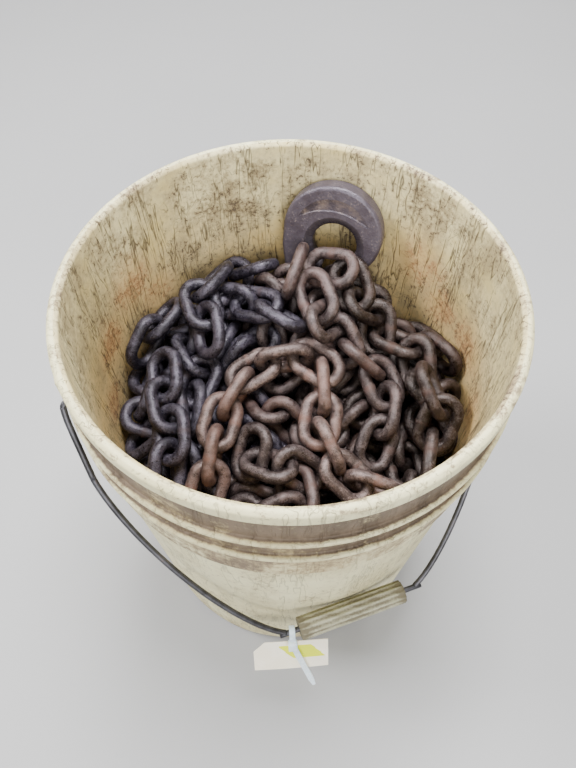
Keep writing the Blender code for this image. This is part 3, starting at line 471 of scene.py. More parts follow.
def tie_finish():
    """Pale milky nylon."""
    nylon = Finish("tie_nylon", Subsurface_Weight=0.15, Specular_IOR_Level=0.5)
    fine = nylon.noise(500.0, 3.0, 0.5)
    nylon.base = nylon.mixed(fine.between(0.4, 0.65), (0.62, 0.70, 0.76), (0.72, 0.79, 0.84))
    return nylon.done(0.32 + fine * 0.2, fine, 0.15 * MM)


def tag_finish():
    """Cream card with a plain yellow printed patch."""
    card = Finish("tag_card")
    fibres = card.noise(900.0, 5.0, 0.6)
    blotches = card.noise(60.0, 4.0, 0.5)
    card.base = card.mixed(blotches.between(0.35, 0.65), (0.93, 0.85, 0.66), (0.97, 0.90, 0.74))
    card.coat(card.attribute("printed").between(0.4, 0.6), (0.74, 0.80, 0.005))
    card.coat((fibres * 0.5 + blotches * 0.5).between(0.58, 0.68) * 0.35, (0.40, 0.34, 0.24))
    return card.done(0.6 + fibres * 0.2, fibres, 0.12 * MM)


def deep_shade_finish():
    """Near-black painted shade for the filling under the links, standing in for the deepest links, which
    hardly any light reaches.
    """
    iron = Finish("deep_iron_shade", Metallic=0.1, Roughness=0.8)
    blotches = iron.noise(90.0, 4.0, 0.6)
    iron.base = iron.mixed(blotches, (0.006, 0.005, 0.005), (0.022, 0.018, 0.016))
    return iron.done(None, blotches, 2.0 * MM)


# Small helpers

def new_object(name, data, matrix=None):
    made = bpy.data.objects.new(name, data)
    bpy.context.scene.collection.objects.link(made)
    if matrix is not None:
        made.matrix_world = matrix
    return made


def add_piece(name, mesh, finish, body, slot, *stands_for):
    """A piece with its finish, riding on a body and standing for the frame's nodes."""
    made = new_object(name, mesh)
    mesh.materials.clear()
    mesh.materials.append(finish)
    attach(made, body)
    if stands_for:
        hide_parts(*stands_for)


def mesh_from(name, points, faces):
    mesh = bpy.data.meshes.new(name)
    mesh.from_pydata([tuple(p) for p in points], [], [tuple(f) for f in faces])
    mesh.polygons.foreach_set("use_smooth", [True] * len(mesh.polygons))
    mesh.update()
    return mesh


def mesh_by(name, make, **settings):
    """What one of Blender's own makers of simple shapes makes."""
    shape = bmesh.new()
    make(shape, **settings)
    mesh = bpy.data.meshes.new(name)
    shape.to_mesh(mesh)
    shape.free()
    return mesh


def shade(mesh, sharp_degrees):
    """Smooth shading, except where two faces turn by more than this."""
    mesh.shade_smooth()
    mesh.set_sharp_from_angle(angle=math.radians(sharp_degrees))


def set_attribute(mesh, name, values):
    attribute = mesh.attributes.new(name, "FLOAT", "POINT")
    attribute.data.foreach_set("value", np.asarray(values, np.float32))


def points_of(mesh):
    points = np.zeros(len(mesh.vertices) * 3, np.float32)
    mesh.vertices.foreach_get("co", points)
    return points.reshape(-1, 3).astype(float)


def unit(v):
    return v / np.linalg.norm(v, axis=-1, keepdims=True)


def on_circle(middle, radius, turns):
    return [(middle[0] + radius * math.cos(t), middle[1] + radius * math.sin(t)) for t in turns]


def arc(middle, radius, first, last, steps):
    return on_circle(middle, radius, np.linspace(first, last, steps + 1))


def circle(radius, steps, middle=(0.0, 0.0)):
    return on_circle(middle, radius, [2 * math.pi * i / steps for i in range(steps)])


def grid_faces(rows, columns, row_loop, column_loop):
    """The four-sided faces of a net of points, row by row."""
    faces = []
    for i in range(rows if row_loop else rows - 1):
        for j in range(columns if column_loop else columns - 1):
            k, m = (i + 1) % rows, (j + 1) % columns
            faces.append((i * columns + j, i * columns + m, k * columns + m, k * columns + j))
    return faces


def smooth_line(points, steps):
    """A smooth curve through the points, with steps places in each stretch."""
    points = np.array(points, float)
    ends = np.vstack([2 * points[0] - points[1], points, 2 * points[-1] - points[-2]])
    line = []
    for a, b, c, d in zip(ends[:-3], ends[1:-2], ends[2:-1], ends[3:]):
        for t in np.arange(steps) / steps:
            line.append(0.5 * (2 * b + (c - a) * t + (2 * a - 5 * b + 4 * c - d) * t**2
                               + (3 * b - a - 3 * c + d) * t**3))
    return np.array(line + [points[-1]])


def wire_mesh(name, line, radius, sides):
    """A round wire along an open line, with flat ends."""
    along = unit(np.gradient(line, axis=0))
    side = np.cross(along[0], (0.0, 0.0, 1.0))
    rings, turns = [], 2 * math.pi * np.arange(sides) / sides
    for place, forward in zip(line, along):
        side = unit(side - forward * (side @ forward))
        up = np.cross(forward, side)
        rings.append(place + radius * (np.cos(turns)[:, None] * side + np.sin(turns)[:, None] * up))
    count = len(rings)
    points = np.concatenate(rings)
    faces = grid_faces(count, sides, False, True)
    faces.append(tuple(reversed(range(sides))))
    faces.append(tuple(range((count - 1) * sides, count * sides)))
    return mesh_from(name, points, [f[::-1] for f in faces])


def frame_matrix(place, x_axis, y_axis):
    z_axis = x_axis.cross(y_axis)
    return Matrix.Translation(place) @ Matrix((x_axis, y_axis, z_axis)).transposed().to_4x4()


def evaluated_mesh(piece):
    """The mesh that the piece's curve or modifiers give."""
    bpy.context.view_layer.update()
    graph = bpy.context.evaluated_depsgraph_get()
    return bpy.data.meshes.new_from_object(piece.evaluated_get(graph))


def apply_modifiers(piece):
    mesh = evaluated_mesh(piece)
    piece.modifiers.clear()
    piece.data = mesh


def taken_from(piece):
    """The piece's mesh, with the object itself removed."""
    mesh = piece.data
    bpy.data.objects.remove(piece)
    return mesh


def level_directions(turn):
    """The X axis and the way to the front, both turned about Z."""
    return (Vector((math.cos(turn), math.sin(turn), 0.0)), Vector((math.sin(turn), -math.cos(turn), 0.0)))


def above(z):
    return Vector((0.0, 0.0, z))


# Chain links

def link_line(bend_steps, straight_steps):
    """The middle line of a link's wire as places and outward directions in the link's own plane."""
    bend = (LINK_INNER_WIDTH + LINK_WIRE) / 2
    straight = (LINK_INNER_LENGTH + LINK_WIRE) / 2 - bend
    places, outward = [], []
    for end, first in ((1, -math.pi / 2), (-1, math.pi / 2)):
        for t in np.linspace(first, first + math.pi, bend_steps + 1):
            places.append((end * straight + bend * math.cos(t), bend * math.sin(t)))
            outward.append((math.cos(t), math.sin(t)))
        for share in np.arange(1, straight_steps) / straight_steps:
            places.append((end * straight * (1 - 2 * share), end * bend))
            outward.append((0.0, float(end)))
    return np.array(places), np.array(outward)


def link_points(rng, bend_steps=12, straight_steps=6, sides=14):
    """The skin of one forged link: round wire, a weld swelling on one side and small dents."""
    places, outward = link_line(bend_steps, straight_steps)
    turns = 2 * math.pi * np.arange(sides) / sides
    weld_side = rng.choice((-1.0, 1.0))
    weld_at = rng.uniform(-2.5, 2.5) * MM
    by_weld = np.exp(-((places[:, 0] - weld_at) / WELD_SPREAD) ** 2) * (places[:, 1] * weld_side > 0)
    by_bend = np.abs(outward[:, 0])
    radius = LINK_WIRE / 2 * (1 + WELD_SWELL * by_weld - BEND_THINNER * by_bend)
    waves = sum(rng.uniform(0.3, 1.0) * np.sin(k * turns[None, :] + rng.uniform(0, 6.28)
                + rng.integers(1, 4) * 2 * math.pi * np.arange(len(places))[:, None] / len(places))
                for k in (2, 3, 4))
    skin = radius[:, None] * (1 + DENTS * waves)
    points = np.zeros((len(places), sides, 3))
    points[:, :, 0] = places[:, :1] + outward[:, :1] * skin * np.cos(turns)
    points[:, :, 1] = places[:, 1:] + outward[:, 1:] * skin * np.cos(turns)
    points[:, :, 2] = skin * np.sin(turns)
    return points.reshape(-1, 3), grid_faces(len(places), sides, True, True), np.repeat(by_weld, sides)


def link_place(node):
    """The middle and turning of a frame link, read from how its points are spread."""
    points = np.unique(np.round(points_of(node.data), 6), axis=0)
    middle = points.mean(0)
    _, axes = np.linalg.eigh(np.cov((points - middle).T))
    long_way, across = axes[:, 2], axes[:, 1]
    return middle, np.stack([long_way, across, np.cross(long_way, across)], axis=1)


def links_mesh(name, middles, turns, rng, sides=14):
    """Several links as one mesh, each with a tone of its own."""
    points, faces, tones, welds = [], [], [], []
    for middle, turn in zip(middles, turns):
        skin, net, weld = link_points(rng, sides=sides)
        start = sum(len(p) for p in points)
        points.append(middle + skin @ turn.T)
        faces += [tuple(start + i for i in face) for face in net]
        tones.append(np.full(len(skin), rng.uniform(0.0, 1.0)))
        welds.append(weld)
    mesh = mesh_from(name, np.concatenate(points), faces)
    set_attribute(mesh, "tone", np.concatenate(tones))
    set_attribute(mesh, "weld", np.concatenate(welds))
    return mesh


# The heap under the top runs

def pail_outer_radius(z):
    share = np.minimum(z / PAIL_SHOULDER_Z, 1.0)
    return PAIL_BASE_RADIUS + (PAIL_SHOULDER_RADIUS - PAIL_BASE_RADIUS) * share


def heap_top(x, y):
    wall = pail_outer_radius(HEAP_TOP) - PAIL_WALL
    dome = HEAP_DOME * np.minimum((x * x + y * y) / wall**2, 1.0)
    top = HEAP_TOP - dome + HEAP_SLOPE * y
    for mound_x, mound_y, height, width in HEAP_MOUNDS:
        away = (x - mound_x) ** 2 + (y - mound_y) ** 2
        top = top + height * np.exp(-away / (2 * width**2))
    return top


def hook_frame():
    """The hook's middle, its across and up directions, and the way its back faces."""
    outward = Vector((math.sin(HOOK_TURN), math.cos(HOOK_TURN), 0.0))
    across = Vector((math.cos(HOOK_TURN), -math.sin(HOOK_TURN), 0.0))
    up = math.sin(HOOK_LEAN) * outward + math.cos(HOOK_LEAN) * Vector((0.0, 0.0, 1.0))
    back = up.cross(across)
    wall = pail_outer_radius(HEAP_TOP) - PAIL_WALL - 3 * CLEARANCE
    reach = math.inf
    for radius, depth in ((HOOK_BOWL_RADIUS - HOOK_ROUND, HOOK_THICKNESS / 2),
                          (HOOK_BOWL_RADIUS, HOOK_THICKNESS / 2 - HOOK_ROUND)):
        for x, y in arc((0.0, 0.0), radius, 0.0, math.pi, 18):
            reach = min(reach, math.sqrt(wall**2 - x**2) - (up * y + back * depth).dot(outward))
    middle = outward * reach
    middle.z = PAIL_HEIGHT - HOOK_DOWN
    return middle, across, up, back


UNDER_DEPTH = 30.0 * MM  # from the heap's top to the middles of the links under the top runs
DEEP_RUN_LOWER = 16.0 * MM
UNDER_CEILING = 6.0 * MM  # how near to the heap's top the middle of a wire may come
RUN_LIFT = 30.0 * MM  # how far a run is lowered before it rises into its place
OVER_HEIGHT = 24.0 * MM  # how far above the heap's top a short run starts to fall
NO_CEILING = 1.0  # too high to hold any link down
RISE_ROUNDS = 52
LINK_RISE = 0.8 * MM
SETTLE_ROUNDS = 12
CLEAR_ROUNDS = 60
LARGEST_MOVE = 1.5 * MM
LINK_SWING = 18.0 * MM  # how far from its middle a link resists a turn as much as a move
PUSH_SHARING = 0.6
HOLD_SHARE = 0.02  # how much of its way back to its route a link goes each round
LINK_GAP = 0.1 * MM

# Runs that fill the gaps between the top runs: the number of links and the route in millimetres
UNDER_RUNS = (
    (6, ((-36, 132), (-18, 120), (-8, 102), (-6, 82), (-16, 60), (-34, 46))),
    (8, ((-66, 70), (-50, 58), (-40, 40), (-24, 8), (-8, -8), (4, -24), (26, -26), (46, -16))),
    (8, ((96, 10), (104, -6), (100, -28), (88, -50), (92, -74), (66, -92), (40, -98))),
    (9, ((-104, -50), (-92, -76), (-66, -98), (-38, -114), (-8, -112), (20, -104), (44, -86))),
    (8, ((88, 82), (74, 88), (48, 112), (38, 100), (44, 74), (58, 56), (44, 32))),
    (8, ((120, 30), (112, 52), (96, 66), (76, 74), (60, 90), (38, 84), (18, 66))),
    (8, ((-100, 62), (-104, 34), (-98, 8), (-102, -18), (-96, -40), (-76, -56), (-50, -60))),
    (7, ((-60, 110), (-84, 100), (-100, 76), (-92, 50), (-62, 40), (-40, 22))),
    (7, ((54, 8), (46, -8), (58, -24), (44, -40), (16, -48), (-8, -34))),
    (7, ((-44, -30), (-50, -50), (-20, -64), (8, -90), (38, -78), (60, -74))),
    (7, ((-34, -24), (-30, -40), (-8, -36), (6, -50), (12, -66), (-8, -80), (-30, -76), (-46, -88))),
    (5, ((-34, -2), (-12, -8), (8, -4), (28, -12), (44, -20), (60, -40))),
    (5, ((-4, 96), (-10, 78), (-8, 62), (-18, 44), (-30, 34), (-46, 44))),
    (5, ((-48, 90), (-62, 76), (-56, 56), (-58, 34), (-66, 14), (-60, -10))),
    (5, ((70, 92), (78, 72), (70, 48), (58, 30), (54, 8), (66, -8))),
    (5, ((-118, 20), (-122, -4), (-112, -26), (-104, -48), (-84, -66))),
    (5, ((24, 62), (14, 44), (24, 26), (34, 8), (22, -8))),
    (5, ((64, -56), (84, -62), (98, -44), (116, -24), (122, 0))),
)
# Short runs over the top runs: the number of links, the first one's roll in quarter turns and the route
OVER_RUNS = (
    (3, 1.0, ((102, 10), (108, -10), (108, -30), (98, -50))),
    (3, 0.6, ((-52, 108), (-62, 92), (-70, 76), (-68, 60))),
    (4, 0.5, ((-104, 30), (-96, 6), (-92, -12), (-84, -32), (-84, -54))),
    (2, 0.2, ((-100, 88), (-108, 66), (-114, 46))),
    (4, 0.9, ((40, -88), (20, -98), (-6, -104), (-30, -102), (-50, -92))),
)
# Runs at the bottom, which wander by themselves, in millimetres and radians
DEEP_RUNS = 9
DEEP_RUN_LINKS = 9
WANDER_STEPS = 8
WANDER_START = 80
WANDER_STEP = 30
WANDER_TURN = 0.9
WALL_TURN = 0.6
WALL_AT = 112

# The links under the runs are in three parts: where the left one ends in x, with its slant, and in y,
# and where the front one ends in x
LEFT_PART_X, LEFT_PART_SLANT, LEFT_PART_Y = -0.02, -0.6, -0.06
FRONT_PART_X = 0.05

# Chain finishes: the colours of scale, worn places and rust, and how much rust there is
CHAIN_COLOURS = {
    "chain_iron": ((0.013, 0.010, 0.015), (0.040, 0.032, 0.053), (0.054, 0.030, 0.031), -0.13),
    "chain_iron_brown": ((0.013, 0.0066, 0.0055), (0.036, 0.020, 0.0165), (0.060, 0.026, 0.018), -0.04),
    "chain_iron_dusty": ((0.031, 0.020, 0.020), (0.078, 0.053, 0.051), (0.102, 0.051, 0.041), -0.03),
    "chain_iron_rusty": ((0.054, 0.034, 0.031), (0.148, 0.103, 0.095), (0.175, 0.085, 0.063), 0.0),
}
RUN_FINISHES = {"left_wall": "chain_iron", "left": "chain_iron", "back_left": "chain_iron",
                "front": "chain_iron_dusty", "right": "chain_iron_brown", "hook_side": "chain_iron_dusty",
                "top": "chain_iron_rusty"}


def smooth_route(points, spacing, count):
    dense = smooth_line(points, 20)
    dense = np.vstack([dense, points[-1] + (np.array(points[-1]) - points[-2]) * 4])
    length = np.concatenate([[0.0], np.cumsum(np.linalg.norm(np.diff(dense, axis=0), axis=1))])
    wanted = spacing * (np.arange(count) + 0.5)
    return np.stack([np.interp(wanted, length, dense[:, k]) for k in range(3)], axis=1)


def place_run(count, first_roll, route, depth):
    """The middles and turnings of one run's links, each rolled a quarter turn from the last."""
    places = [(x * MM, y * MM, float(heap_top(x * MM, y * MM)) - depth) for x, y in route]
    places = smooth_route(places, LINK_INNER_LENGTH * LINK_SPACING, count)
    forward = unit(np.gradient(places, axis=0))
    turns = []
    for i in range(count):
        side = unit(np.cross((0.0, 0.0, 1.0), forward[i]))
        up = np.cross(forward[i], side)
        roll = math.pi / 2 * (i + first_roll)
        across = math.cos(roll) * side + math.sin(roll) * up
        turns.append(np.stack([forward[i], across, np.cross(forward[i], across)], axis=1))
    return places, np.array(turns)


def nearest_on_segments(a0, a1, b0, b1):
    run_a, run_b, apart = a1 - a0, b1 - b0, a0 - b0
    aa, bb = (run_a**2).sum(-1), (run_b**2).sum(-1)
    ab, a_apart, b_apart = (run_a * run_b).sum(-1), (run_a * apart).sum(-1), (run_b * apart).sum(-1)
    skew = np.maximum(aa * bb - ab * ab, 1e-18)
    s = np.clip((ab * b_apart - a_apart * bb) / skew, 0.0, 1.0)
    t = np.clip((ab * s + b_apart) / bb, 0.0, 1.0)
    s = np.clip((ab * t - a_apart) / aa, 0.0, 1.0)
    return a0 + s[:, None] * run_a, b0 + t[:, None] * run_b


def small_turn(angles):
    size = np.linalg.norm(angles, axis=1)[:, None, None]
    k = np.zeros((len(angles), 3, 3))
    k[:, 0, 1], k[:, 0, 2], k[:, 1, 2] = -angles[:, 2], angles[:, 1], -angles[:, 0]
    k -= k.transpose(0, 2, 1)
    k /= np.maximum(size, 1e-12)
    return np.eye(3) + np.sin(size) * k + (1 - np.cos(size)) * (k @ k)


def touching(lines, middles, free):
    """Where a free link is nearer than a wire's width to another: links, places, push and depth."""
    apart = LINK_WIRE + LINK_GAP
    reach = LINK_INNER_LENGTH + 3 * LINK_WIRE
    moving = np.flatnonzero(free)
    first, second = (grid.ravel() for grid in np.meshgrid(moving, np.arange(len(middles)), indexing="ij"))
    wanted = ((~free[second]) | (first < second)) & (first != second)
    wanted &= np.linalg.norm(middles[first] - middles[second], axis=1) < reach
    first, second = first[wanted], second[wanted]
    size = lines.shape[1]
    i, j = (grid.ravel() for grid in np.meshgrid(np.arange(size), np.arange(size), indexing="ij"))
    after = np.roll(lines, -1, axis=1)
    mid, half = (lines + after) / 2, np.linalg.norm(after - lines, axis=2) / 2
    gap = np.linalg.norm(mid[first][:, i] - mid[second][:, j], axis=2)
    pair, corner = np.nonzero(gap < apart + half[first][:, i] + half[second][:, j])
    a, b, i, j = first[pair], second[pair], i[corner], j[corner]
    on_a, on_b = nearest_on_segments(lines[a, i], after[a, i], lines[b, j], after[b, j])
    between = on_a - on_b
    distance = np.linalg.norm(between, axis=1)
    touch = distance < apart
    push = between[touch] / np.maximum(distance[touch], 1e-9)[:, None]
    return a[touch], b[touch], on_a[touch], on_b[touch], push, apart - distance[touch]


def against_walls(lines, free, ceilings, hook):
    """Where a free link comes above its own ceiling, into the pail's wall or into the hook."""
    wire = LINK_WIRE / 2 + LINK_GAP
    moving = np.flatnonzero(free)
    links = np.repeat(moving, lines.shape[1])
    points = lines[moving].reshape(-1, 3)
    x, y, z = points.T
    radius = np.hypot(x, y)
    outward = np.stack([x / radius, y / radius, 0 * z], axis=1)
    wall = pail_outer_radius(z) - PAIL_WALL - wire - CLEARANCE
    over = z - heap_top(x, y) - ceilings[links]
    middle, across, upward, back = hook
    from_hook = points - np.array(middle)
    in_front = from_hook @ np.array(back) + HOOK_THICKNESS / 2 + wire
    by_hook = np.abs(from_hook @ np.array(across)) < HOOK_BOWL_RADIUS + wire
    by_hook &= from_hook @ np.array(upward) < HOOK_BOWL_RADIUS + wire
    down = np.broadcast_to((0.0, 0.0, -1.0), points.shape)
    forward = np.broadcast_to(-np.array(back), points.shape)
    kinds = ((over, down, over > 0), (radius - wall, -outward, radius > wall),
             (in_front, forward, by_hook & (in_front > 0)))
    found = [(links[on], points[on], push[on], depth[on]) for depth, push, on in kinds]
    return [np.concatenate(column) for column in zip(*found)]


def part_links(middles, turns, free, ceilings, hook):
    """One round of moving the free links out of whatever they touch."""
    shape, _ = link_line(5, 1)
    shape = np.column_stack([shape, np.zeros(len(shape))])
    lines = middles[:, None] + shape @ turns.transpose(0, 2, 1)
    a, b, on_a, on_b, push, depth = touching(lines, middles, free)
    on, place, direction, deep = against_walls(lines, free, ceilings, hook)
    arm_a, arm_b = np.cross(on_a - middles[a], push), np.cross(on_b - middles[b], push)
    arm_on = np.cross(place - middles[on], direction)
    swing = LINK_SWING
    ease_a = 1 + (arm_a**2).sum(1) / swing**2
    ease_b = (1 + (arm_b**2).sum(1) / swing**2) * free[b]
    shared = (depth / (ease_a + ease_b))[:, None]
    alone = (deep / (1 + (arm_on**2).sum(1) / swing**2))[:, None]
    links = np.concatenate([a, b, on])
    move, turn = np.zeros_like(middles), np.zeros_like(middles)
    np.add.at(move, links, np.concatenate([push * shared, -push * shared, direction * alone]))
    np.add.at(turn, links, np.concatenate([arm_a * shared, -arm_b * shared, arm_on * alone]) / swing**2)
    share = np.maximum(np.bincount(links, minlength=len(middles)), 1.0)[:, None] ** PUSH_SHARING
    move, turn = move / share * free[:, None], turn / share * free[:, None]
    move *= np.minimum(1.0, LARGEST_MOVE / np.maximum(np.linalg.norm(move, axis=1, keepdims=True), 1e-12))
    most = LARGEST_MOVE / swing
    turn *= np.minimum(1.0, most / np.maximum(np.linalg.norm(turn, axis=1, keepdims=True), 1e-12))
    return middles + move, small_turn(turn) @ turns


def wandering_route(rng):
    """A route that wanders inside the pail and turns back from its wall."""
    places = [rng.uniform(-WANDER_START, WANDER_START, 2)]
    heading = rng.uniform(0, 2 * math.pi)
    for _ in range(WANDER_STEPS):
        heading += rng.uniform(-WANDER_TURN, WANDER_TURN)
        step = places[-1] + WANDER_STEP * np.array((math.cos(heading), math.sin(heading)))
        while np.hypot(*step) > WALL_AT:
            heading += WALL_TURN
            step = places[-1] + WANDER_STEP * np.array((math.cos(heading), math.sin(heading)))
        places.append(step)
    return [tuple(place) for place in places]


def lay_more_links(middles, turns, rng):
    """Raises one run after another into the gaps from below, then drops the short runs from above."""
    hook = hook_frame()
    fixed = len(middles)
    ceilings = np.zeros(fixed)
    runs = [(count, i % 2, route, UNDER_DEPTH, LINK_RISE) for i, (count, route) in enumerate(UNDER_RUNS)]
    deep = DEEP_RUNS
    runs += [(DEEP_RUN_LINKS, i % 2, wandering_route(rng), UNDER_DEPTH + DEEP_RUN_LOWER, LINK_RISE)
             for i in range(deep)]
    runs += [(count, roll, route, -OVER_HEIGHT, -LINK_RISE) for count, roll, route in OVER_RUNS]
    for count, first_roll, route, depth, rise in runs:
        places, rolled = place_run(count, first_roll, route, depth)
        if rise > 0:
            start, ceiling = places - (0.0, 0.0, RUN_LIFT), -UNDER_CEILING
        else:
            start, ceiling = places, NO_CEILING
        free = np.arange(len(middles) + count) >= len(middles)
        middles = np.vstack([middles, start])
        turns = np.concatenate([turns, rolled])
        ceilings = np.concatenate([ceilings, np.full(count, ceiling)])
        for _ in range(RISE_ROUNDS):
            middles[free, 2] += rise
            middles[free, :2] += HOLD_SHARE * (places[:, :2] - middles[free, :2])
            middles, turns = part_links(middles, turns, free, ceilings, hook)
        for _ in range(SETTLE_ROUNDS):
            middles, turns = part_links(middles, turns, free, ceilings, hook)
    free = np.arange(len(middles)) >= fixed
    for _ in range(CLEAR_ROUNDS):
        middles, turns = part_links(middles, turns, free, ceilings, hook)
    return middles[fixed:], turns[fixed:]


def make_chain():
    """The frame's links in their places, and the links under and over them in three parts of the heap."""
    rng = np.random.default_rng(SEED)
    finishes = {name: chain_finish(name, *colours) for name, colours in CHAIN_COLOURS.items()}
    slots = {row["node"]: row["material_slot"] for row in frame["record"]["subparts"]}
    middles, turns = [], []
    for node in [n for n in frame["nodes"] if "_link_" in n]:
        middle, turn = link_place(frame["nodes"][node])
        middles.append(middle)
        turns.append(turn)
        name = node + "_forged"
        mesh = links_mesh(name, [middle], [turn], rng)
        add_piece(name, mesh, finishes[RUN_FINISHES[node.split("_link_")[0]]], "pail", slots[node], node)
    under, under_turns = lay_more_links(np.array(middles), np.array(turns), rng)
    left = under[:, 0] < LEFT_PART_X + LEFT_PART_SLANT * np.minimum(0.0, under[:, 1])
    left &= under[:, 1] > LEFT_PART_Y
    front = ~left & (under[:, 0] < FRONT_PART_X)
    for side, chosen, finish, slot in (("left", left, "chain_iron", "chain_iron"),
                                       ("front", front, "chain_iron_dusty", "chain_iron_brown"),
                                       ("right", ~left & ~front, "chain_iron_brown", "chain_iron_brown")):
        name = "under_links_" + side
        mesh = links_mesh(name, under[chosen], under_turns[chosen], rng, 12)
        add_piece(name, mesh, finishes[finish], "pail", slot)


def make_deep_heap():
    """What is left to see between the links: a lumpy filling of the pail, painted near black as shade."""
    rings, spokes = DEEP_RINGS, DEEP_SPOKES
    places = [(0.0, 0.0)]
    edge = pail_outer_radius(150 * MM) - PAIL_WALL - 2 * CLEARANCE
    rng = np.random.default_rng(SEED + 1)
    phases = rng.uniform(0, 6.28, (6, 2))
    for ring in range(1, rings + 1):
        places += circle(edge * ring / rings, spokes)
    points = []
    for x, y in places:
        lumps = sum(math.sin(x * (160 + 40 * k) + a) * math.sin(y * (150 + 50 * k) + b)
                    for k, (a, b) in enumerate(phases))
        points.append((x, y, float(heap_top(x, y)) - DEEP_DEPTH + DEEP_LUMPS * lumps))
    foot = len(points)
    low = pail_outer_radius(0.0) - PAIL_WALL - PAIL_FOOT_ROUND - CLEARANCE
    points += [(x, y, PAIL_FLOOR + CLEARANCE) for x, y in circle(low, spokes)]
    net = grid_faces(rings + 1, spokes, False, True)
    faces = [(0, 1 + j, 1 + (j + 1) % spokes) for j in range(spokes)]
    faces += [(1 + a, 1 + d, 1 + c, 1 + b) for a, b, c, d in net]
    faces.append(tuple(reversed(range(foot, foot + spokes))))
    mesh = mesh_from("deep_heap", points, faces)
    add_piece("deep_heap", mesh, deep_shade_finish(), "pail", "chain_iron_dark", "heap_core")


# Pail

def rounded(points, radius, steps=4):
    """An open outline with its corners rounded, each by no more than its shorter side allows."""
    points = [Vector(p) for p in points]
    made = [points[0]]
    for before, corner, after in zip(points[:-2], points[1:-1], points[2:]):
        back, forth = before - corner, after - corner
        reach = min(radius, 0.45 * back.length, 0.45 * forth.length)
        first, last = corner + back.normalized() * reach, corner + forth.normalized() * reach
        for i in range(steps + 1):
            t = i / steps
            made.append((1 - t) ** 2 * first + 2 * t * (1 - t) * corner + t**2 * last)
    return made + [points[-1]]


def pail_outline():
    """From the middle of the floor up the inside, over the rim and down to the underside."""
    band = PAIL_BAND_RADIUS
    ridge = band + RIDGE_OVERHANG
    rim = band + RIM_OVERHANG
    inside = PAIL_SHOULDER_RADIUS - PAIL_WALL
    base_inside = PAIL_BASE_RADIUS - PAIL_WALL
    outline = [
        (0.0, PAIL_FLOOR), (base_inside - PAIL_FOOT_ROUND, PAIL_FLOOR),
        (base_inside, PAIL_FLOOR + PAIL_FOOT_ROUND), (inside, PAIL_SHOULDER_Z - PAIL_BAND_STEP),
        (inside + RIM_ROUND / 2, PAIL_HEIGHT - RIM_ROUND), (inside + RIM_ROUND * 1.5, PAIL_HEIGHT),
        (rim - RIM_ROUND, PAIL_HEIGHT), (rim, PAIL_HEIGHT - RIM_ROUND),
        (rim, PAIL_HEIGHT - RIM_BEAD_HEIGHT), (band, PAIL_HEIGHT - RIM_BEAD_HEIGHT)]
    for z in RIDGE_HEIGHTS:
        outline += [(band, z + RIDGE_THICKNESS), (ridge, z + RIDGE_THICKNESS), (ridge, z), (band, z)]
    outline += [(band, PAIL_SHOULDER_Z + PAIL_BAND_STEP), (PAIL_SHOULDER_RADIUS, PAIL_SHOULDER_Z)]
    outline += [(pail_outer_radius(PAIL_FOOT_ROUND), PAIL_FOOT_ROUND)]
    outline += [(PAIL_BASE_RADIUS - PAIL_FOOT_ROUND, 0.0)]
    for groove in PAIL_GROOVES:
        outline += [(groove + PAIL_GROOVE_HALF, 0.0), (groove, PAIL_GROOVE_DEPTH)]
        outline += [(groove - PAIL_GROOVE_HALF, 0.0)]
    return rounded(outline + [(0.0, 0.0)], PAIL_CORNER_ROUND)


def split_long(outline, longest):
    made = [outline[0]]
    for before, after in zip(outline[:-1], outline[1:]):
        parts = max(1, math.ceil((after - before).length / longest))
        made += [before.lerp(after, (i + 1) / parts) for i in range(parts)]
    return made


def ear_height():
    return (sum(RIDGE_HEIGHTS) + RIDGE_THICKNESS) / 2


def ear_reach():
    return PAIL_BAND_RADIUS + RIDGE_OVERHANG + EAR_STAND_OFF


def round_bar(name, start, end, radius, steps, end_radius=None):
    run = end - start
    mesh = mesh_by(name, bmesh.ops.create_cone, cap_ends=True, segments=steps, radius1=radius,
                   radius2=end_radius or radius, depth=run.length)
    turned = run.to_track_quat("Z", "Y").to_matrix().to_4x4()
    return new_object(name, mesh, Matrix.Translation((start + end) / 2) @ turned)


def block(name, size, matrix):
    shape = Matrix.Diagonal((*size, 1.0))
    return new_object(name, mesh_by(name, bmesh.ops.create_cube, size=1.0, matrix=shape), matrix)


def cut_or_join(piece, tool, operation):
    change = piece.modifiers.new(operation, "BOOLEAN")
    change.operation = operation
    change.solver = "EXACT"
    change.object = tool
    apply_modifiers(piece)
    bpy.data.objects.remove(tool)


def pail_body():
    """The moulding turned from its outline, without ears."""
    outline = split_long(pail_outline(), PAIL_LONGEST_STEP)
    inner = outline[1:-1]
    turns = 2 * math.pi * np.arange(PAIL_STEPS) / PAIL_STEPS
    points = [(p.x * math.cos(t), p.x * math.sin(t), p.y) for p in inner for t in turns]
    faces = grid_faces(len(inner), PAIL_STEPS, False, True)
    top, foot = len(points), len(points) + 1
    points += [(0.0, 0.0, outline[0].y), (0.0, 0.0, outline[-1].y)]
    faces += [(top, (j + 1) % PAIL_STEPS, j) for j in range(PAIL_STEPS)]
    last = (len(inner) - 1) * PAIL_STEPS
    faces += [(last + j, last + (j + 1) % PAIL_STEPS, foot) for j in range(PAIL_STEPS)]
    return new_object("pail_moulding", mesh_from("pail_moulding", points, [f[::-1] for f in faces]))


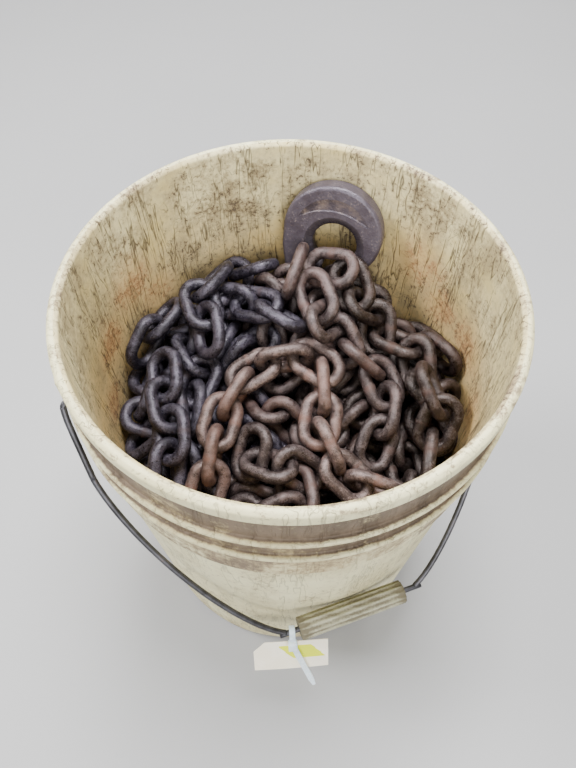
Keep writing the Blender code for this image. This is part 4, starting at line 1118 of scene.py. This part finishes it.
def make_pail():
    pail = pail_body()
    along, _ = level_directions(EAR_TURN)
    height = above(ear_height())
    band = PAIL_BAND_RADIUS
    upper = RIDGE_HEIGHTS[0] + RIDGE_THICKNESS
    pad_height = PAIL_HEIGHT - RIM_BEAD_HEIGHT - upper
    middle, face = band - PAIL_WALL, band + EAR_PAD_STAND_OFF
    bottom, beyond = ear_reach() - BAIL_IN_BOSS - CLEARANCE, ear_reach() + EAR_RADIUS
    for side in (-1, 1):
        out = side * along
        boss = round_bar("boss", out * middle + height, out * ear_reach() + height, EAR_RADIUS, 48)
        cut_or_join(pail, boss, "UNION")
        at = out * (face + middle) / 2 + above(upper + pad_height / 2)
        pad = block("pad", (face - middle, EAR_PAD_WIDTH, pad_height + PAIL_WALL),
                    Matrix.Translation(at) @ Matrix.Rotation(EAR_TURN, 4, "Z"))
        cut_or_join(pail, pad, "UNION")
        bore = round_bar("bore", out * bottom + height, out * beyond + height, BAIL_WIRE / 2 + CLEARANCE, 24)
        cut_or_join(pail, bore, "DIFFERENCE")
    mesh = taken_from(pail)
    shade(mesh, 38)
    points = points_of(mesh)
    radius, z = np.hypot(points[:, 0], points[:, 1]), points[:, 2]
    allowance = np.where(z > PAIL_SHOULDER_Z + PAIL_BAND_STEP, 0.9 * MM, -PAIL_WALL / 2)
    set_attribute(mesh, "inside", (radius < pail_outer_radius(z) + allowance) & (z > PAIL_FLOOR / 2))
    # Grime and painted shade by height, lessened on the ridges and the rim bead.
    heights, amounts = zip(*GRIME_AND_SHADE_BY_HEIGHT)
    set_attribute(mesh, "grime", np.interp(z, np.array(heights) * MM, amounts))
    set_attribute(mesh, "edge", (radius > band + 0.6 * RIDGE_OVERHANG) | (z > PAIL_HEIGHT - RIM_BEAD_HEIGHT))
    add_piece("pail_moulding", mesh, pail_finish(), "pail", "pail_plastic", "pail")


# Bail, grip, tie and tag

def bail_frame():
    """The swinging frame of the bail: X along the ears and Y down the hanging bail."""
    slope = (PAIL_SHOULDER_RADIUS - PAIL_BASE_RADIUS) / PAIL_SHOULDER_Z
    stand_off = PAIL_BASE_RADIUS + slope * ear_height() + GRIP_RADIUS + 2 * CLEARANCE
    tilt = math.atan(slope) + math.acos(stand_off / (BAIL_DEPTH * math.hypot(1.0, slope)))
    along, outward = level_directions(EAR_TURN)
    return frame_matrix(above(ear_height()), along, math.cos(tilt) * outward - above(math.sin(tilt)))


def bail_route():
    reach = ear_reach()
    wide = reach + BAIL_GAP_TO_EAR + BAIL_WIRE / 2
    tip = reach - BAIL_IN_BOSS
    bend = wide - reach - CLEARANCE
    side = [(tip, 0.0), (reach - CLEARANCE, 0.0)] + arc((wide - bend, bend), bend, -math.pi / 2, 0.0, 6)[1:]
    side.append((wide, BAIL_NECK))
    by_rim = PAIL_BAND_RADIUS + RIM_OVERHANG + BAIL_WIRE / 2 + 2 * CLEARANCE
    shoulder = PAIL_HEIGHT - ear_height()
    grip_end = GRIP_LENGTH / 2 + TIE_FROM_GRIP + TIE_WIDTH / 2
    for i in range(BAIL_BOW_STEPS + 1):
        turn = math.pi / 2 * i / BAIL_BOW_STEPS
        side.append((grip_end + (by_rim - grip_end) * math.cos(turn) ** BAIL_FULLNESS,
                     shoulder + (BAIL_DEPTH - shoulder) * math.sin(turn) ** BAIL_FULLNESS))
    return [(-x, y, 0.0) for x, y in side] + [(x, y, 0.0) for x, y in reversed(side)]


def make_bail():
    mesh = wire_mesh("bail_wire", smooth_line(bail_route(), 4), BAIL_WIRE / 2, 16)
    mesh.transform(bail_frame())
    add_piece("bail_wire", mesh, steel_finish(), "bail", "bail_steel", "bail")


def make_grip():
    """A fluted tube with square ends, on the wire."""
    around, bore = 96, BAIL_WIRE / 2 + GRIP_CLEARANCE
    turns = 2 * math.pi * np.arange(around) / around
    hollow = (0.5 - 0.5 * np.cos(GRIP_RIBS * turns)) ** 0.7
    rings, flutes = [], []
    half = GRIP_LENGTH / 2
    edge, deep = GRIP_EDGE, GRIP_BORE_STEP
    stations = [(-half, bore, 0), (-half, None, -edge), (-half + edge, None, 0)]
    stations += [(x, None, 0) for x in np.linspace(-half, half, 25)[1:-1]]
    stations += [(half - edge, None, 0), (half, None, -edge), (half, bore, 0)]
    stations += [(half - deep, bore, 0), (-half + deep, bore, 0)]
    for x, even, inset in stations:
        skin = np.full(around, even) if even else GRIP_RADIUS - GRIP_RIB_DEPTH * hollow + inset
        rings.append(np.column_stack([np.full(around, x), skin * np.cos(turns), skin * np.sin(turns)]))
        flutes.append(np.zeros(around) if even else hollow)
    mesh = mesh_from("grip_tube", np.concatenate(rings), grid_faces(len(rings), around, True, True))
    mesh.transform(Matrix.Translation((0.0, BAIL_DEPTH, 0.0)))
    mesh.transform(bail_frame())
    shade(mesh, 50)
    set_attribute(mesh, "flute", np.concatenate(flutes))
    along = np.repeat([abs(x) for x, _, _ in stations], around)
    set_attribute(mesh, "end", np.clip((along - half + GRIP_END_GRIME) / GRIP_END_GRIME, 0.0, 1.0))
    add_piece("grip_tube", mesh, grip_finish(), "grip", "grip_plastic", "grip")


def tag_frame():
    place = bail_frame() @ Vector((-GRIP_LENGTH / 2 - TIE_FROM_GRIP, BAIL_DEPTH, 0.0))
    along, outward = level_directions(TAG_TURN)
    return place, along, math.sin(TAG_TILT) * outward - above(math.cos(TAG_TILT))


def plate_mesh(name, outlines, thickness, bevel, segments=3):
    """A flat plate cut from its outline and holes, with its edges rounded."""
    curve = bpy.data.curves.new(name, "CURVE")
    curve.dimensions = "2D"
    curve.fill_mode = "BOTH"
    curve.extrude = thickness / 2
    for outline in outlines:
        line = curve.splines.new("POLY")
        line.points.add(len(outline) - 1)
        for place, (x, y) in zip(line.points, outline):
            place.co = (x, y, 0.0, 1.0)
        line.use_cyclic_u = True
    source = new_object(name, curve)
    mesh = evaluated_mesh(source)
    bpy.data.objects.remove(source)
    shape = bmesh.new()
    shape.from_mesh(mesh)
    bmesh.ops.remove_doubles(shape, verts=shape.verts, dist=0.01 * MM)
    bmesh.ops.dissolve_limit(shape, angle_limit=math.radians(0.5), verts=shape.verts, edges=shape.edges)
    bmesh.ops.recalc_face_normals(shape, faces=shape.faces)
    sharp = [e for e in shape.edges if e.is_manifold and e.calc_face_angle() > math.radians(50)]
    bmesh.ops.bevel(shape, geom=sharp, offset=bevel, segments=segments, affect="EDGES", profile=0.5)
    shape.to_mesh(mesh)
    shape.free()
    return mesh


def make_tag():
    """A card with one corner cut, a hole and a slight curl."""
    left, right = -TAG_HOLE_ALONG, TAG_WIDTH - TAG_HOLE_ALONG
    top = GRIP_RADIUS + 2 * CLEARANCE
    foot = top + TAG_DROP
    cut = TAG_CORNER_CUT
    edge = [(left + cut, top), (right, top), (right, foot), (left, foot), (left, top + cut)]
    hole = circle(TAG_HOLE_RADIUS, 32, (0.0, top + TAG_HOLE_DOWN))
    mesh = plate_mesh("tag_card", (edge, hole), TAG_THICKNESS, TAG_ROUND, 1)
    shape = bmesh.new()
    shape.from_mesh(mesh)
    columns, rows = TAG_COLUMNS, TAG_ROWS
    cuts = [((left + TAG_WIDTH * i / columns, 0, 0), (1, 0, 0)) for i in range(1, columns)]
    cuts += [((0, top + TAG_DROP * i / rows, 0), (0, 1, 0)) for i in range(1, rows)]
    for place, across in cuts:
        geometry = shape.verts[:] + shape.edges[:] + shape.faces[:]
        bmesh.ops.bisect_plane(shape, geom=geometry, plane_co=place, plane_no=across)
    shape.to_mesh(mesh)
    shape.free()
    points = points_of(mesh)
    x, y = points[:, 0], points[:, 1]
    share = (y - top - TAG_PATCH_TOP) / TAG_PATCH_DROP
    beside = np.abs(x - MM - TAG_PATCH_SHIFT * share)
    printed = (beside < TAG_PATCH_HALF) & (share > 0) & (share < 1) & (points[:, 2] < 0)
    set_attribute(mesh, "printed", printed)
    points[:, 2] += TAG_CURL * (x - TAG_CURL_MIDDLE) ** 2 * (y - top) / TAG_DROP
    mesh.vertices.foreach_set("co", points.astype(np.float32).ravel())
    mesh.transform(frame_matrix(*tag_frame()))
    add_piece("tag_card", mesh, tag_finish(), "bail", "tag_card", "tag")


def make_tie():
    """A strap round the wire and through the card, its square head and its long tail."""
    place, along, down = tag_frame()
    matrix = frame_matrix(place, down.cross(along), down)
    inner_width = BAIL_WIRE + 2 * CLEARANCE + TIE_WIDTH * math.tan(abs(EAR_TURN - TAG_TURN))
    first, last = -inner_width / 2, GRIP_RADIUS + 2 * CLEARANCE + TAG_HOLE_DOWN + CLEARANCE

    def loop(width, low, high):
        radius, half_turn = width / 2, math.pi
        upper = arc((0, high - radius), radius, 0, half_turn, 20)
        return upper + arc((0, low + radius), radius, half_turn, 2 * half_turn, 20)

    outer = loop(inner_width + 2 * TIE_THICKNESS, first - TIE_THICKNESS, last + TIE_THICKNESS)
    mesh = plate_mesh("tie_strap", (outer, loop(inner_width, first, last)), TIE_WIDTH, TIE_ROUND)
    mesh.transform(matrix)
    strap = new_object("tie_strap", mesh)
    front = inner_width / 2 + TIE_THICKNESS / 4
    head_place = matrix @ Matrix.Translation((front + TIE_HEAD[0] / 2, TIE_HEAD_DOWN, 0.0))
    head = block("head", TIE_HEAD, head_place)
    soften = head.modifiers.new("Soft edges", "BEVEL")
    soften.width, soften.segments = TIE_HEAD_ROUND, 3
    apply_modifiers(head)
    cut_or_join(strap, head, "UNION")
    half, thick = TIE_WIDTH / 2, TIE_THICKNESS / 2
    points = [(x, TIE_TAIL * share, z * narrow) for share, narrow in TIE_TAIL_WIDTHS
              for x, z in ((-thick, -half), (thick, -half), (thick, half), (-thick, half))]
    faces = grid_faces(len(TIE_TAIL_WIDTHS), 4, False, True) + [(3, 2, 1, 0), (12, 13, 14, 15)]
    tail_mesh = mesh_from("tail", points, [f[::-1] for f in faces])
    tail = new_object("tail", tail_mesh, head_place @ Matrix.Rotation(TIE_TAIL_LEAN, 4, "X"))
    cut_or_join(strap, tail, "UNION")
    mesh = taken_from(strap)
    shade(mesh, 35)
    add_piece("tie_strap", mesh, tie_finish(), "bail", "tie_nylon", "cable_tie")


# Hook

def hook_outline():
    eye = (-HOOK_EYE_SIDE, -HOOK_EYE_DROP)
    outer = arc((0.0, 0.0), HOOK_BOWL_RADIUS, HOOK_TIP_TURN, math.pi, 54)
    neck = (-HOOK_BOWL_RADIUS, -HOOK_NECK_DROP)
    eye_round = arc(eye, HOOK_EYE_RADIUS, *HOOK_EYE_ARC, 30)
    mouth = (HOOK_MOUTH_SIDE, -HOOK_MOUTH_DROP)
    inner = arc(mouth, HOOK_MOUTH_RADIUS, HOOK_INNER_START, HOOK_INNER_TIP_TURN, 40)
    across = Vector(outer[0]) - Vector(inner[-1])
    toward = math.atan2(across.y, across.x)
    tip_middle = (Vector(outer[0]) + Vector(inner[-1])) / 2
    nose = arc(tip_middle, across.length / 2, toward + math.pi, toward + 2 * math.pi, 14)
    return outer + [neck] + eye_round + inner + nose[1:-1]


def make_hook():
    """A forged slip hook with a shallow crescent pressed into each face."""
    eye_hole = circle(HOOK_EYE_HOLE, 36, (-HOOK_EYE_SIDE, -HOOK_EYE_DROP))
    mesh = plate_mesh("hook_forging", (hook_outline(), eye_hole), HOOK_THICKNESS, HOOK_ROUND, 5)
    hook = new_object("hook_forging", mesh)
    crescent = arc((0.0, 0.0), CRESCENT_OUTER_RADIUS, *CRESCENT_OUTER_ARC, 36)
    crescent += arc((0.0, -CRESCENT_INNER_DROP), CRESCENT_INNER_RADIUS, *CRESCENT_INNER_ARC, 24)
    mouth = Vector((HOOK_MOUTH_SIDE, -HOOK_MOUTH_DROP, 0.0))
    wide = HOOK_MOUTH_RADIUS + HOOK_CHAMFER * (1 + MM / HOOK_CHAMFER_DEPTH)
    half, plate = HOOK_THICKNESS / 2, 4.0 * MM
    for side in (-1, 1):
        deep, high = above(side * (half - HOOK_CHAMFER_DEPTH)), above(side * (half + MM))
        chamfer = round_bar("chamfer", mouth + deep, mouth + high, HOOK_MOUTH_RADIUS, 72, wide)
        cut_or_join(hook, chamfer, "DIFFERENCE")
        pressed = plate_mesh("pressed", (crescent,), plate, CRESCENT_ROUND)
        at = Matrix.Translation((0, 0, side * (half + plate / 2 - CRESCENT_DEPTH)))
        cut_or_join(hook, new_object("pressed", pressed, at), "DIFFERENCE")
    hook.data.polygons.foreach_set("use_smooth", [True] * len(hook.data.polygons))
    flat_first = hook.modifiers.new("Flat faces first", "WEIGHTED_NORMAL")
    flat_first.weight = 100
    apply_modifiers(hook)
    mesh = taken_from(hook)
    points = points_of(mesh)
    sunk = half - np.abs(points[:, 2])
    recess = (sunk > RECESS_FROM) & (sunk < RECESS_TO) & (points[:, 1] > RECESS_ABOVE)
    recess &= np.hypot(points[:, 0], points[:, 1]) < HOOK_BOWL_RADIUS - HOOK_ROUND - MM
    set_attribute(mesh, "recess", recess)
    middle, across, up, _ = hook_frame()
    mesh.transform(frame_matrix(middle, across, up))
    add_piece("hook_forging", mesh, hook_finish(), "pail", "hook_iron", "hook")


# Floor, light and camera

def make_stage():
    floor_finish = Finish("floor", Roughness=0.85)
    mottle = floor_finish.noise(3.0, 4.0, 0.5)
    floor_finish.base = floor_finish.mixed(mottle, (0.33, 0.33, 0.335), (0.37, 0.37, 0.375))
    mesh = mesh_by("floor", bmesh.ops.create_grid, x_segments=1, y_segments=1, size=FLOOR_SIZE)
    mesh.materials.append(floor_finish.done())
    new_object("floor", mesh)
    world = bpy.data.worlds.new("room")
    bpy.context.scene.world = world
    world.use_nodes = True
    sky = world.node_tree.nodes["Background"]
    sky.inputs["Color"].default_value = SKY_COLOUR
    sky.inputs["Strength"].default_value = SKY_STRENGTH
    for name, (place, size, power) in LAMPS.items():
        lamp = bpy.data.lights.new(name, "AREA")
        lamp.size = size
        lamp.energy = power
        lit = new_object(name, lamp)
        lit.location = place
        lit.rotation_mode = "QUATERNION"
        lit.rotation_quaternion = (Vector(place) - above(LAMPS_AIM_Z)).to_track_quat("Z", "Y")


def make_camera():
    lens = bpy.data.cameras.new("camera")
    lens.sensor_width = SENSOR
    lens.lens = FOCAL_PIXELS * SENSOR / PICTURE_HEIGHT
    lens.clip_start = 0.01
    camera = new_object("camera", lens)
    camera.location = CAMERA_PLACE
    camera.rotation_euler = (CAMERA_PITCH, 0.0, 0.0)
    camera.rotation_euler.rotate_axis("Z", CAMERA_ROLL)
    bpy.context.scene.camera = camera


make_stage()
make_camera()
make_chain()
make_deep_heap()
make_pail()
make_bail()
make_grip()
make_tag()
make_tie()
make_hook()
